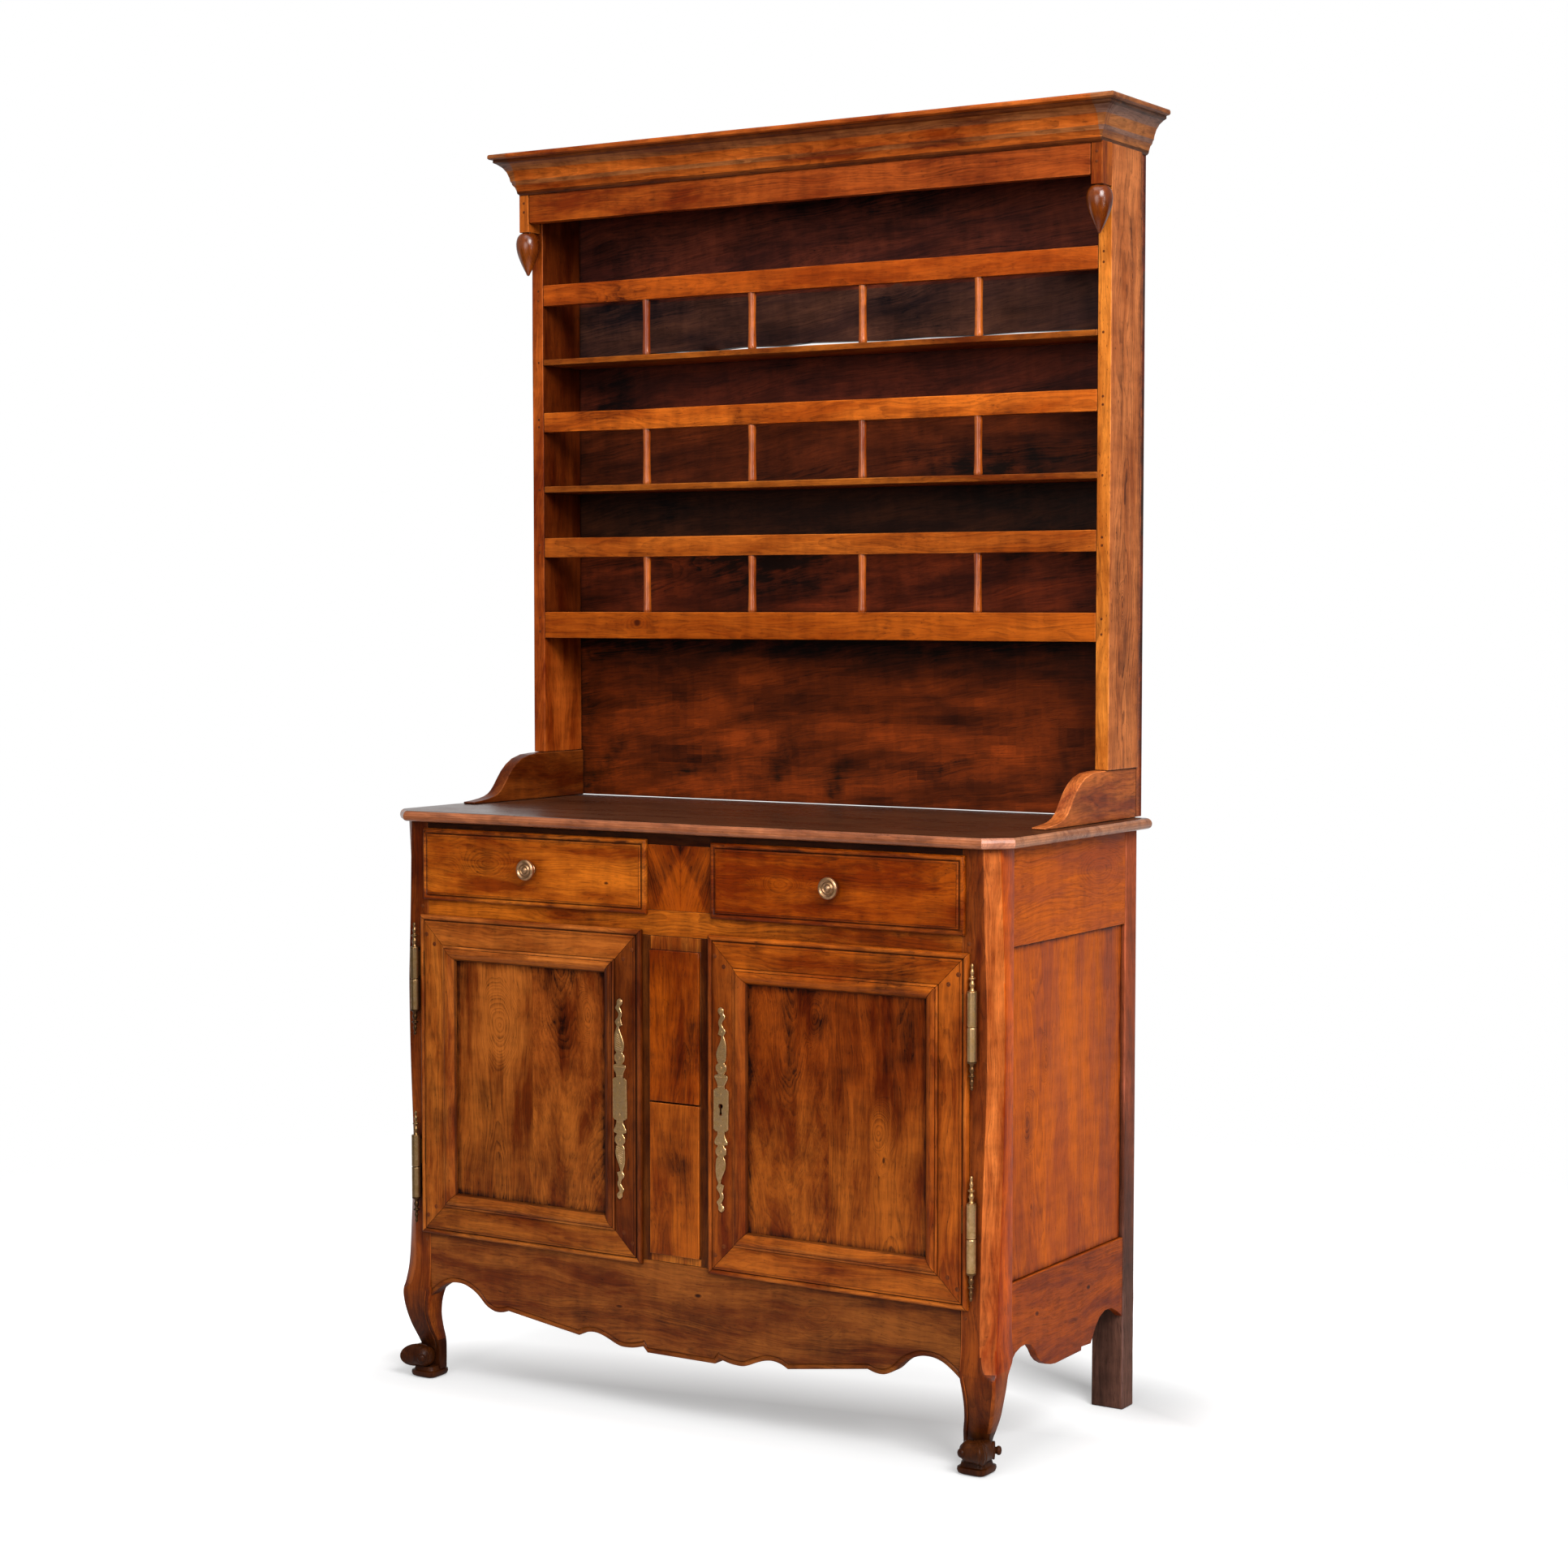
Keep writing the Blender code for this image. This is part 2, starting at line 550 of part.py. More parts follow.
def hinge(side, tail, middle, which):
    """The fixed half with its pin, and the door half that turns on it."""
    finial = scaled(FINIAL_MM)
    seat = Matrix.Translation((side * HINGE_X, HINGE_Y, middle))
    upper = [(0, BORE_LENGTH), (PIN_BORE, BORE_LENGTH), (PIN_BORE, GAP)]
    upper += [(BARREL_RADIUS, GAP), (BARREL_RADIUS, BARREL)]
    upper += [(radius, BARREL + height) for radius, height in finial]
    lower = [(0, PIN_LENGTH), (PIN_RADIUS, PIN_LENGTH), (PIN_RADIUS, 0)]
    lower += [(BARREL_RADIUS, 0), (BARREL_RADIUS, -BARREL)]
    lower += [(radius, -BARREL - height) for radius, height in finial]
    swung = turned(f"hinge_{which}_door_{tail}", upper, seat, PLAIN, BRASS)
    leaf_y = (HINGE_Y + DOOR_LEAF_Y - LEAF_THICK / 2, HINGE_Y + DOOR_LEAF_Y + LEAF_THICK / 2)
    leaf_x = [side * (HINGE_X - reach) for reach in DOOR_LEAF]
    run = [middle + height for height in LEAF_RUN]
    add(swung, box("leaf", leaf_x, leaf_y, run, BRASS))
    fixed = turned(f"hinge_{which}_frame_{tail}", lower, seat, PLAIN, BRASS)
    leaf_x = (side * HINGE_X - LEAF_THICK / 2, side * HINGE_X + LEAF_THICK / 2)
    leaf_y = [HINGE_Y + reach for reach in FRAME_LEAF]
    run = [middle - height for height in LEAF_RUN]
    add(fixed, box("leaf", leaf_x, leaf_y, run, BRASS))
    return swung


def door(side, tail):
    near = door_near(side)
    high, wide = DOOR_LIP_HIGH - DOOR_LIP_LOW, DOOR_FAR - near
    plain = frame_section(LIP)
    hung = member(
        "door_hinge_stile_" + tail,
        frame_section(HINGE_LIP),
        lambda inset, along, y: (side * (DOOR_FAR - inset), y, DOOR_LIP_LOW + along),
        high,
    )
    closing = member(
        "door_closing_stile_" + tail,
        plain,
        lambda inset, along, y: (side * (near + inset), y, DOOR_LIP_LOW + along),
        high,
    )
    top = member(
        "door_top_rail_" + tail,
        plain,
        lambda inset, along, y: (side * (near + along), y, DOOR_LIP_HIGH - inset),
        wide,
    )
    bottom = member(
        "door_bottom_rail_" + tail,
        plain,
        lambda inset, along, y: (side * (near + along), y, DOOR_LIP_LOW + inset),
        wide,
    )
    for rail in (top, bottom):
        corner_x = (side * (DOOR_FAR - HINGE_LIP), side * DOOR_FAR)
        corner_y = (FRONT - GAP, FRONT + BODY_DEPTH + MM)
        cut(rail, box("corner", corner_x, corner_y, (DOOR_LIP_LOW, DOOR_LIP_HIGH), WOOD))
    seat = FRAME_WIDTH - GROOVE_DEPTH + GAP
    panel = box(
        "door_panel_" + tail,
        (side * (near + seat), side * (DOOR_FAR - seat)),
        (FRONT - PANEL_FRONT, FRONT - PANEL_REAR),
        (DOOR_LIP_LOW + seat, DOOR_LIP_HIGH - seat),
        WOOD,
    )
    plate = escutcheon(side, tail)
    halves, slots = [], []
    for middle, which in zip(HINGE_MIDDLES, ("upper", "lower")):
        halves.append(hinge(side, tail, middle, which))
        half = LEAF_THICK / 2 + GAP
        slot_x = (side * (DOOR_FAR + MM), side * (HINGE_X - DOOR_LEAF[1] - GAP))
        slot_y = (HINGE_Y + DOOR_LEAF_Y - half, HINGE_Y + DOOR_LEAF_Y + half)
        slot_z = (middle + LEAF_RUN[0] - GAP, middle + LEAF_RUN[1] + GAP)
        slots.append(box("slot", slot_x, slot_y, slot_z, WOOD))
    cut(hung, *slots)
    pieces = [hung, closing, top, bottom, panel, plate, *halves]
    if side > 0:
        pieces.append(lock(closing, plate))
    carry("door_pivot_" + tail, Vector((side * HINGE_X, HINGE_Y, PLATE_Z)), pieces)


def lock(closing, plate):
    """The bolt in its mortise, drawn back, with the keyhole cut through plate and stile."""
    mortise = box(
        "mortise",
        (door_near(1), BOLT_X[1] + BOLT_PLAY),
        (FRONT + BOLT_Y[0] - BOLT_PLAY, FRONT + BOLT_Y[1] + BOLT_PLAY),
        (BOLT_Z[0] - BOLT_PLAY, BOLT_Z[1] + BOLT_PLAY),
        WOOD,
    )
    face = FRONT - FRAME_FACE
    cut(closing, mortise, keyhole(face - MM, FRONT + BOLT_Y[0]))
    cut(plate, keyhole(face - KEYHOLE_DEPTH, face + MM))
    bolt_y = [FRONT + depth for depth in BOLT_Y]
    return box("lock_bolt", BOLT_X, bolt_y, BOLT_Z, IRON)


def upper_side(side, tail):
    thick = sorted((side * UPPER_INNER, side * UPPER_OUTER))
    run = (UPPER_FRONT, BACK_FRONT - GAP)
    box("upper_side_" + tail, thick, run, (BRACKET_HIGH + GAP, UNDER_TOP - GAP), WOOD)
    curve = scaled(BRACKET_MM)
    outline = curve + [(UPPER_FRONT, BRACKET_HIGH), (run[1], BRACKET_HIGH), (run[1], curve[0][1])]
    prism("bracket_" + tail, outline, "X", *sorted((side * BRACKET_INNER, side * UPPER_OUTER)), WOOD)


def cornice():
    rings = []
    for proud, height in scaled(CORNICE_MM):
        half, front = UPPER_OUTER + proud, FRIEZE_FRONT - proud
        ring = [(-half, front), (half, front), (half, UPPER_BACK), (-half, UPPER_BACK)]
        rings.append([(x, y, height) for x, y in ring])
    moulding = loft("cornice", rings, WOOD)
    room, deep = UPPER_OUTER + GAP, (BLOCK_FRONT - GAP, UPPER_BACK + MM)
    cut(moulding, box("hollow", (-room, room), deep, (CORNICE_LOW - MM, UNDER_TOP), WOOD))


def frieze():
    high = UNDER_TOP - GAP
    half, deep = UPPER_INNER + MM, (FRIEZE_FRONT, FRIEZE_FRONT + BOARD_THICK)
    board = box("frieze", (-half, half), deep, (FRIEZE_LOW, high), WOOD)
    pieces = []
    for side in (-1, 1):
        across, deep = (side * UPPER_INNER, side * UPPER_OUTER), (BLOCK_FRONT, UPPER_FRONT - GAP)
        pieces.append(box("block", across, deep, (BLOCK_LOW, high - MM), WOOD))
        seat = Matrix.Translation((side * (UPPER_INNER + UPPER_OUTER) / 2, DROP_Y, BLOCK_LOW))
        pieces.append(turned("drop", scaled(DROP_MM), seat, FINE, WOOD))
    add(board, *pieces)


def plate_rack():
    inside = (GAP - UPPER_INNER, UPPER_INNER - GAP)
    deep = (UPPER_FRONT, BACK_FRONT - GAP)
    for number, run in enumerate(SHELF_RUNS, 1):
        box(f"shelf_{number}", inside, deep, run, WOOD)
    low, top = BOTTOM_SHELF
    front, behind = UPPER_FRONT, UPPER_FRONT + RAIL_DEPTH
    section = [(front, BOTTOM_RAIL_LOW), (behind, BOTTOM_RAIL_LOW), (behind, low)]
    section += [(deep[1], low), (deep[1], top), (front, top)]
    prism("shelf_3", section, "X", *inside, WOOD)
    stands = [run[1] for run in SHELF_RUNS] + [top]
    for number, (stand, run) in enumerate(zip(stands, PLATE_RAILS), 1):
        rail = box(f"plate_rail_{number}", inside, (front, behind), run, WOOD)
        base = stand + GAP
        reach = run[0] + MM - base
        stretch = reach / (SPINDLE_MM[-1][1] * MM)
        body = [(radius, height * stretch) for radius, height in scaled(SPINDLE_MM)]
        profile = [(0, 0), *body, (0, reach)]
        spindles = [
            turned(
                "spindle",
                profile,
                Matrix.Translation((SPINDLE_SPACING * step / 2, UPPER_FRONT + RAIL_DEPTH / 2, base)),
                PLAIN,
                WOOD,
            )
            for step in (-3, -1, 1, 3)
        ]
        add(rail, *spindles)


def upper_back():
    across, deep = (-UPPER_OUTER, UPPER_OUTER), (BACK_FRONT, UPPER_BACK)
    board = box("upper_back", across, deep, (BACK_LOW, UNDER_TOP - GAP), WOOD_DARK)
    rows = scaled(SPLIT_MM)
    lower = [(x, SPLIT_HEIGHT - half) for x, half in rows]
    upper = [(x, SPLIT_HEIGHT + half) for x, half in reversed(rows)]
    cut(board, prism("split", lower + upper, "Y", BACK_FRONT - MM, UPPER_BACK + MM, WOOD_DARK))


for old in list(bpy.data.objects):
    bpy.data.objects.remove(old)

WOOD = finish("waxed fruitwood", "8A4519", 0.38)
WOOD_TOP = finish("dark polished table top", "6A3820", 0.30)
WOOD_DARK = finish("old dark back boards", "3A1A0E", 0.55)
PINE = finish("plain drawer lining", "A9794A", 0.65)
BRASS = finish("dull brass", "A08A4C", 0.36, 1.0)
IRON = finish("black iron", "4A443E", 0.5, 1.0)

table_top()
lower_frame()
lower_inside()
for SIDE, TAIL in ((-1, "left"), (1, "right")):
    front_leg(SIDE, "leg_front_" + TAIL)
    lower_side(SIDE, TAIL)
    drawer(SIDE, TAIL)
    door(SIDE, TAIL)
    upper_side(SIDE, TAIL)
cornice()
frieze()
plate_rack()
upper_back()
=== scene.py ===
# %% [markdown]
# # A two-part buffet in waxed fruitwood
#
# The real piece is a country buffet: a plate rack with spindled rails stands on a cupboard with two
# drawers and two panelled doors. Its solids were drawn in CAD and packed as a frame of bodies that
# move. We load that frame and dress every solid with the worn edges, turned work, brass and old wood
# that the solids only hint at.

# %% Load the frame
import json
import math
import random

import bmesh
import bpy
from mathutils import Matrix, Vector, noise

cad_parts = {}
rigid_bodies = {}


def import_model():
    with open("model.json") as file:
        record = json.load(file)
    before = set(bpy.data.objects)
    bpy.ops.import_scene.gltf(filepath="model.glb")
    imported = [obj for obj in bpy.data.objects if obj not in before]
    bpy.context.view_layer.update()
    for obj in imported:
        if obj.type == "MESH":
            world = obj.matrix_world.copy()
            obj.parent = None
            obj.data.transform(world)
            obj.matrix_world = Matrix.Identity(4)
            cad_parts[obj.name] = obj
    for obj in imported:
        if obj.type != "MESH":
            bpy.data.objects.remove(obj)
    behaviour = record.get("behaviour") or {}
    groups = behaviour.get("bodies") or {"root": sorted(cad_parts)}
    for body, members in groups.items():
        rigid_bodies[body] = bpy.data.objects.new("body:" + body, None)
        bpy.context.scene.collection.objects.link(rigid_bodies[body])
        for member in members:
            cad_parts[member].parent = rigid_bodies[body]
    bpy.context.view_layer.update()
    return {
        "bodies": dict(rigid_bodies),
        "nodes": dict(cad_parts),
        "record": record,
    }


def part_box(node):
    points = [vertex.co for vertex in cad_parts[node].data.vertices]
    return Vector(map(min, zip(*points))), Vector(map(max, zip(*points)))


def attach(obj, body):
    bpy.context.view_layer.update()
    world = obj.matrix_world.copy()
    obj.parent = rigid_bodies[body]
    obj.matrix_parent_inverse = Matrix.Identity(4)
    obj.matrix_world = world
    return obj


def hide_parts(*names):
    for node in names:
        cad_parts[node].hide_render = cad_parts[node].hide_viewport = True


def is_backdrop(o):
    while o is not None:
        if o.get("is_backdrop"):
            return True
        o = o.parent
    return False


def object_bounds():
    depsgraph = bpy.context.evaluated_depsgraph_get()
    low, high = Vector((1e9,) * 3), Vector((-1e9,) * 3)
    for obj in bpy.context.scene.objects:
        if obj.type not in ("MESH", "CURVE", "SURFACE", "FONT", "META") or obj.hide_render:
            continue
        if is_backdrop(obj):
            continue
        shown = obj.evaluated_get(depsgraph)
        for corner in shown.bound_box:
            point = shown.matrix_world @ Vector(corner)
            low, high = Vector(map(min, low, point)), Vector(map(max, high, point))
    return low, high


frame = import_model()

noise.seed_set(7)
MM = 0.001
FRONT = -0.237  # the face of the lower stage, on Y
scene = bpy.context.scene
slots = {part["node"]: part["material_slot"] for part in frame["record"]["subparts"]}

# %% [markdown]
# ## Camera
#
# The picture was taken from the right of the piece, a little above its table, with a long lens. A
# camera can be set by eye, but here its place and its two angles come from lines that we know to be
# level or upright on the piece, so every edge falls where it should.

# %% Camera
eye = Vector((2.6413, -4.1137, 1.3279))
turn, tip = math.radians(32.2148), math.radians(-3.4847)
gaze = Vector((-math.sin(turn) * math.cos(tip), math.cos(turn) * math.cos(tip), math.sin(tip)))
camera = bpy.data.objects.new("camera", bpy.data.cameras.new("camera"))
camera.location = eye
camera.rotation_euler = gaze.to_track_quat("-Z", "Y").to_euler()
camera.data.sensor_width, camera.data.lens = 36.0, 67.129
scene.collection.objects.link(camera)
scene.camera = camera
scene.view_settings.view_transform = "Standard"
print("camera", tuple(round(c, 3) for c in camera.location))

# %% [markdown]
# ## Colours and nodes
#
# Colours are written as the hex values that a picture shows, and one function turns them into the
# linear light that shaders work in. A second small function adds a node, sets it and links it, so each
# material below reads as a list of steps.

# %% Colour and node helpers
def linear(code):
    """An sRGB hex colour as linear RGBA."""
    parts = [int(code[k : k + 2], 16) / 255 for k in (0, 2, 4)]
    return (*(c / 12.92 if c <= 0.04045 else ((c + 0.055) / 1.055) ** 2.4 for c in parts), 1.0)


def put(tree, kind, inputs=None, out=0, **settings):
    """Add a node, set it and link it, and return one output; an input is a value or another node's output."""
    made = tree.nodes.new("ShaderNode" + kind)
    for key, value in settings.items():
        setattr(made, key, value)
    for key, value in (inputs or {}).items():
        if isinstance(value, bpy.types.NodeSocket):
            tree.links.new(value, made.inputs[key])
        else:
            made.inputs[key].default_value = value
    return made.outputs[out]


def blank(name):
    """A new material, its node tree and its Principled shader."""
    made = bpy.data.materials.new(name)
    made.use_nodes = True
    return made, made.node_tree, made.node_tree.nodes["Principled BSDF"]


print("waxed mid brown is", [round(c, 3) for c in linear("8A4412")])

# %% [markdown]
# ## Studio
#
# The piece stands on white paper in soft light that comes mostly from the front right and from above, and
# a narrow strip lamp draws a bright line down turned work. A floor that is only lit would turn grey far
# away, so the paper glows white to the camera from just past the footprint. It glows less under the front
# and behind the right rear leg, where its diffuse share is what holds the shadow. The paper hangs behind
# the piece; the room before it is dim, and that is what the polish mirrors.

# %% Paper floor
BACKDROP = (-0.53, 0.85, 0.0)
FOOTPRINT = (0.56, 0.24, 0.0)
EASED = {"interpolation_type": "SMOOTHSTEP"}


def shows_white(tree, place, first, last):
    """One for rays that meet plain white: from the camera, through glass, or mirrored towards the backdrop."""
    path = put(tree, "LightPath").node.outputs
    rear = put(tree, "VectorMath", {0: place, 1: BACKDROP}, out="Value", operation="DOT_PRODUCT")
    behind = put(tree, "MapRange", {"Value": rear, "From Min": first, "From Max": last})
    mirrored = put(tree, "Math", {0: path["Is Glossy Ray"], 1: behind}, operation="MULTIPLY")
    seen = put(tree, "Math", {0: path["Is Camera Ray"], 1: mirrored}, operation="MAXIMUM")
    return put(tree, "Math", {0: seen, 1: path["Is Transmission Ray"]}, operation="MAXIMUM")


# Uncoated paper: matt, with a tooth of fibres about a millimetre long that only a close look finds
paper, tree, shader = blank("white paper sweep")
tree.nodes.remove(shader)
place = put(tree, "TexCoord", out="Object")
seen = shows_white(tree, place, 0.4, 1.6)
fibre = put(tree, "TexNoise", {"Vector": place, "Scale": 900.0, "Detail": 2.0})
tooth = put(tree, "Bump", {"Height": fibre, "Strength": 0.05, "Distance": 0.0002})
lit = put(tree, "BsdfDiffuse", {"Color": (0.62, 0.62, 0.62, 1), "Normal": tooth})
deep = put(tree, "VectorMath", {0: place, 1: (-0.18, 1, 0)}, out="Value", operation="DOT_PRODUCT")
glow = put(tree, "MapRange", {"Value": deep, "From Min": -0.07, "From Max": 0.15, "To Min": 0.36, "To Max": 0.84})
corner = put(tree, "VectorMath", {0: place, 1: (0.5, 1, 0)}, out="Value", operation="DOT_PRODUCT")
corner = put(tree, "MapRange", {"Value": corner, "From Min": 0.40, "From Max": 0.55, "To Min": 1.0, "To Max": 0.2})
glow = put(tree, "Math", {0: glow, 1: corner}, operation="MULTIPLY")
past = put(tree, "VectorMath", {0: place}, operation="ABSOLUTE")
past = put(tree, "VectorMath", {0: past, 1: FOOTPRINT}, operation="SUBTRACT")
past = put(tree, "VectorMath", {0: past, 1: (0, 0, 0)}, operation="MAXIMUM")
past = put(tree, "VectorMath", {0: past}, out="Value", operation="LENGTH")
past = put(tree, "MapRange", {"Value": past, "From Max": 0.4, "To Max": 0.65}, **EASED)
glow = put(tree, "Math", {0: glow, 1: past}, operation="ADD", use_clamp=True)
faint = put(tree, "Math", {0: seen, 1: glow}, operation="MULTIPLY")
near = put(tree, "AddShader", {0: lit, 1: put(tree, "Emission", {"Strength": faint})})
far = put(tree, "Emission", {"Strength": seen})
reach = put(tree, "VectorMath", {0: place}, out="Value", operation="LENGTH")
fade = put(tree, "MapRange", {"Value": reach, "From Min": 1.5, "From Max": 2.6}, **EASED)
mixed = put(tree, "MixShader", {0: fade, 1: near, 2: far})
tree.links.new(mixed, tree.nodes["Material Output"].inputs["Surface"])

sheet = bmesh.new()
bmesh.ops.create_grid(sheet, x_segments=8, y_segments=8, size=14)
floor_mesh = bpy.data.meshes.new("paper_floor")
sheet.to_mesh(floor_mesh)
sheet.free()
floor_mesh.materials.append(paper)
floor = bpy.data.objects.new("paper_floor", floor_mesh)
floor.location.z = -0.0005
scene.collection.objects.link(floor)
floor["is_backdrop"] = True
print("floor nodes", len(paper.node_tree.nodes))

# %% White surround and lamps
world = bpy.data.worlds.new("white studio")
world.use_nodes = True
scene.world = world
tree = world.node_tree
seen = shows_white(tree, put(tree, "TexCoord", out="Generated"), 0.70, 0.92)
mirror = put(tree, "LightPath", out="Is Glossy Ray")
soft = put(tree, "MapRange", {"Value": mirror, "To Min": 0.30, "To Max": 0.32})
level = put(tree, "MapRange", {"Value": seen, "To Min": soft, "To Max": 1.0})
tree.links.new(level, tree.nodes["Background"].inputs["Strength"])
tree.nodes["Background"].inputs["Color"].default_value = (1, 1, 1, 1)

# name, place, aim, size in metres, watts
lamps = (
    ("key", (3.7, -2.9, 4.0), (0, 0, 1.0), (2.2, 2.2), 280),
    ("fill", (0.6, -4.9, 2.0), (0, 0, 0.8), (2.4, 2.4), 60),
    ("above", (0.3, -0.9, 4.6), (0, 0, 0.6), (3.0, 3.0), 60),
    ("strip", (3.3, -1.2, 1.7), (0, 0, 1.4), (0.16, 1.5), 12),
)
for name, here, there, size, watts in lamps:
    lamp = bpy.data.objects.new(name, bpy.data.lights.new(name, "AREA"))
    lamp.data.shape, lamp.data.energy = "RECTANGLE", watts
    lamp.data.size, lamp.data.size_y = size
    lamp.location = here
    lamp.rotation_euler = (Vector(there) - Vector(here)).to_track_quat("-Z", "Y").to_euler()
    scene.collection.objects.link(lamp)
print("lamps", len(lamps))

# %% [markdown]
# ## Waxed fruitwood
#
# Cherry and pear were sawn, planed by hand and then waxed for two centuries. The eye sees growth rings
# that run as flames and arches where the board was sawn near the heart, fine dark pores along the
# grain, broad fades where light and hands have been, dirt and painted shade in the corners and pale worn
# edges, all under a soft gloss. An image could show that once; here the board carries its own grain
# direction as an attribute, and rings are drawn as distance from the tree's heart, so they run through the wood.

# %% Tone, and dirt with painted shade near other surfaces, which every finish here shares
def toned(tree, colour):
    """A colour multiplied by the tone that each face carries."""
    tone = put(tree, "Attribute", out="Vector", attribute_name="tone")
    tone = put(tree, "VectorMath", {0: tone, 1: (1, 1, 1)}, operation="ADD")
    return put(tree, "VectorMath", {0: colour, 1: tone}, operation="MULTIPLY")


def dirt_and_painted_shade(tree, colour, dirt, reach, clear, most):
    """A dark colour mixed in where another surface lies within reach, in metres: dirt and painted shade on wood,
    tarnish on brass; past the clear share there is none.
    """
    shut = put(tree, "AmbientOcclusion", {"Distance": reach}, out="AO", samples=4)
    shut = put(tree, "MapRange", {"Value": shut, "From Min": 0.25, "From Max": clear, "To Min": most, "To Max": 0.0})
    return put(tree, "Mix", {0: shut, 6: colour, 7: linear(dirt)}, out=2, data_type="RGBA")


print("tone and dirt ready")


# %% Waxed fruitwood, drawn from each board's grain
def fruitwood(
    name, pale, warm, dark, ring=4.5 * MM, knots=(), figure=0.28, rough=(0.30, 0.48), shade_and_dirt_colour="1C0B05", shine=0.12,
    flecks=0.3,
):
    """Wood from a grain attribute (along, across, through) in metres; knots are (along, across, size, core)."""
    made, tree, shader = blank(name)
    grain = put(tree, "Attribute", out="Vector", attribute_name="grain")
    # The fibres wander about 10 mm to each side over some 300 mm of board
    slow = put(tree, "VectorMath", {0: grain, 1: (1 / 0.30, 1 / 0.085, 1 / 0.085)}, operation="MULTIPLY")
    bend = put(tree, "TexNoise", {"Vector": slow, "Scale": 1.0, "Detail": 3.0}, out="Color")
    sway = {0: bend, 1: (0, 0.052, 0.052), 2: (0, -0.026, -0.026)}
    swing = put(tree, "VectorMath", sway, operation="MULTIPLY_ADD")
    flow = put(tree, "VectorMath", {0: grain, 1: swing}, operation="ADD")
    flat = put(tree, "VectorMath", {0: flow, 1: (0, 1, 1)}, operation="MULTIPLY")
    radius = put(tree, "VectorMath", {0: flat}, out="Value", operation="LENGTH")
    dots, near = [], 0.0
    for along, across, size, core in knots:
        away = put(tree, "VectorMath", {0: flow, 1: (-along, -across, 0)}, operation="ADD")
        oval = put(tree, "VectorMath", {0: away, 1: (0.5, 1, 0)}, operation="MULTIPLY")
        apart = put(tree, "VectorMath", {0: oval}, out="Value", operation="LENGTH")
        span = {"Value": apart, "From Min": size, "From Max": 3 * size, "To Min": 1.0, "To Max": 0.0}
        pull = put(tree, "MapRange", span, **EASED)
        radius = put(tree, "Mix", {0: pull, 2: radius, 3: apart})
        near = put(tree, "Math", {0: pull, 1: near}, operation="MAXIMUM")
        span = {"Value": apart, "From Min": 0.25 * size, "From Max": 0.8 * size, "To Min": core, "To Max": 0.0}
        dots.append(put(tree, "MapRange", span, **EASED))
    # Growth rings a few millimetres apart, crowded in some years and wide in others
    count = put(tree, "Math", {0: radius, 1: ring}, operation="DIVIDE")
    years = put(tree, "TexNoise", {"W": count, "Scale": 0.37, "Detail": 1.0}, noise_dimensions="1D")
    uneven = put(tree, "Math", {0: years, 1: 2.2, 2: count}, operation="MULTIPLY_ADD")
    phase = put(tree, "Math", {0: uneven}, operation="FRACT")
    late = put(tree, "MapRange", {"Value": phase, "From Min": 0.35, "From Max": 0.97}, **EASED)
    spells = put(tree, "TexNoise", {"W": count, "Scale": 0.15, "Detail": 2.0}, noise_dimensions="1D")
    spells = put(tree, "MapRange", {"Value": spells, "From Min": 0.36, "From Max": 0.64, "To Min": 0.12})
    spells = put(tree, "Math", {0: spells, 1: near}, operation="MAXIMUM")
    rings = put(tree, "Math", {0: late, 1: spells}, operation="MULTIPLY")
    # Marks by their real length and width in metres, the noise's detail and roughness, its span and what it gives
    marks = {
        # Pores are 0.1 mm wide on the real wood; they are drawn as streaks 1.4 mm wide and 30 mm long to show
        "pores": (0.030, 0.0014, 3.0, 0.5, 0.42, 0.75, 0.0, 1.0),
        # Dark flecks some 7 mm long and 2 mm wide, where pith and gum lie open
        "flecks": (0.007, 0.002, 1.0, 0.5, 0.66, 0.74, 0.0, flecks),
        # Bundles of fibres 4 mm wide and 150 mm long take more or less stain
        "bundles": (0.15, 0.004, 3.0, 0.6, 0.36, 0.64, -0.09, 0.15),
        # Fades and blotches about 240 mm long, and curl across the grain every 20 mm or so
        "fades": (0.24, 0.045, 6.0, 0.65, 0.38, 0.62, 0.0, 1.0),
        "curl": (0.020, 0.06, 2.0, 0.5, 0.35, 0.7, -0.10, 0.14),
        # Stains break up along the grain in tongues 60 mm long
        "tongues": (0.06, 0.018, 4.0, 0.5, 0.3, 0.65, 0.25, 1.3),
    }
    for mark, (length, width, detail, coarse, *span) in marks.items():
        field = put(tree, "VectorMath", {0: flow, 1: (1 / length, 1 / width, 1 / width)}, operation="MULTIPLY")
        field = put(tree, "TexNoise", {"Vector": field, "Scale": 1.0, "Detail": detail, "Roughness": coarse})
        ends = dict(zip(("From Min", "From Max", "To Min", "To Max"), span))
        marks[mark] = put(tree, "MapRange", {"Value": field, **ends})
    pores, fades = marks["pores"], marks["fades"]
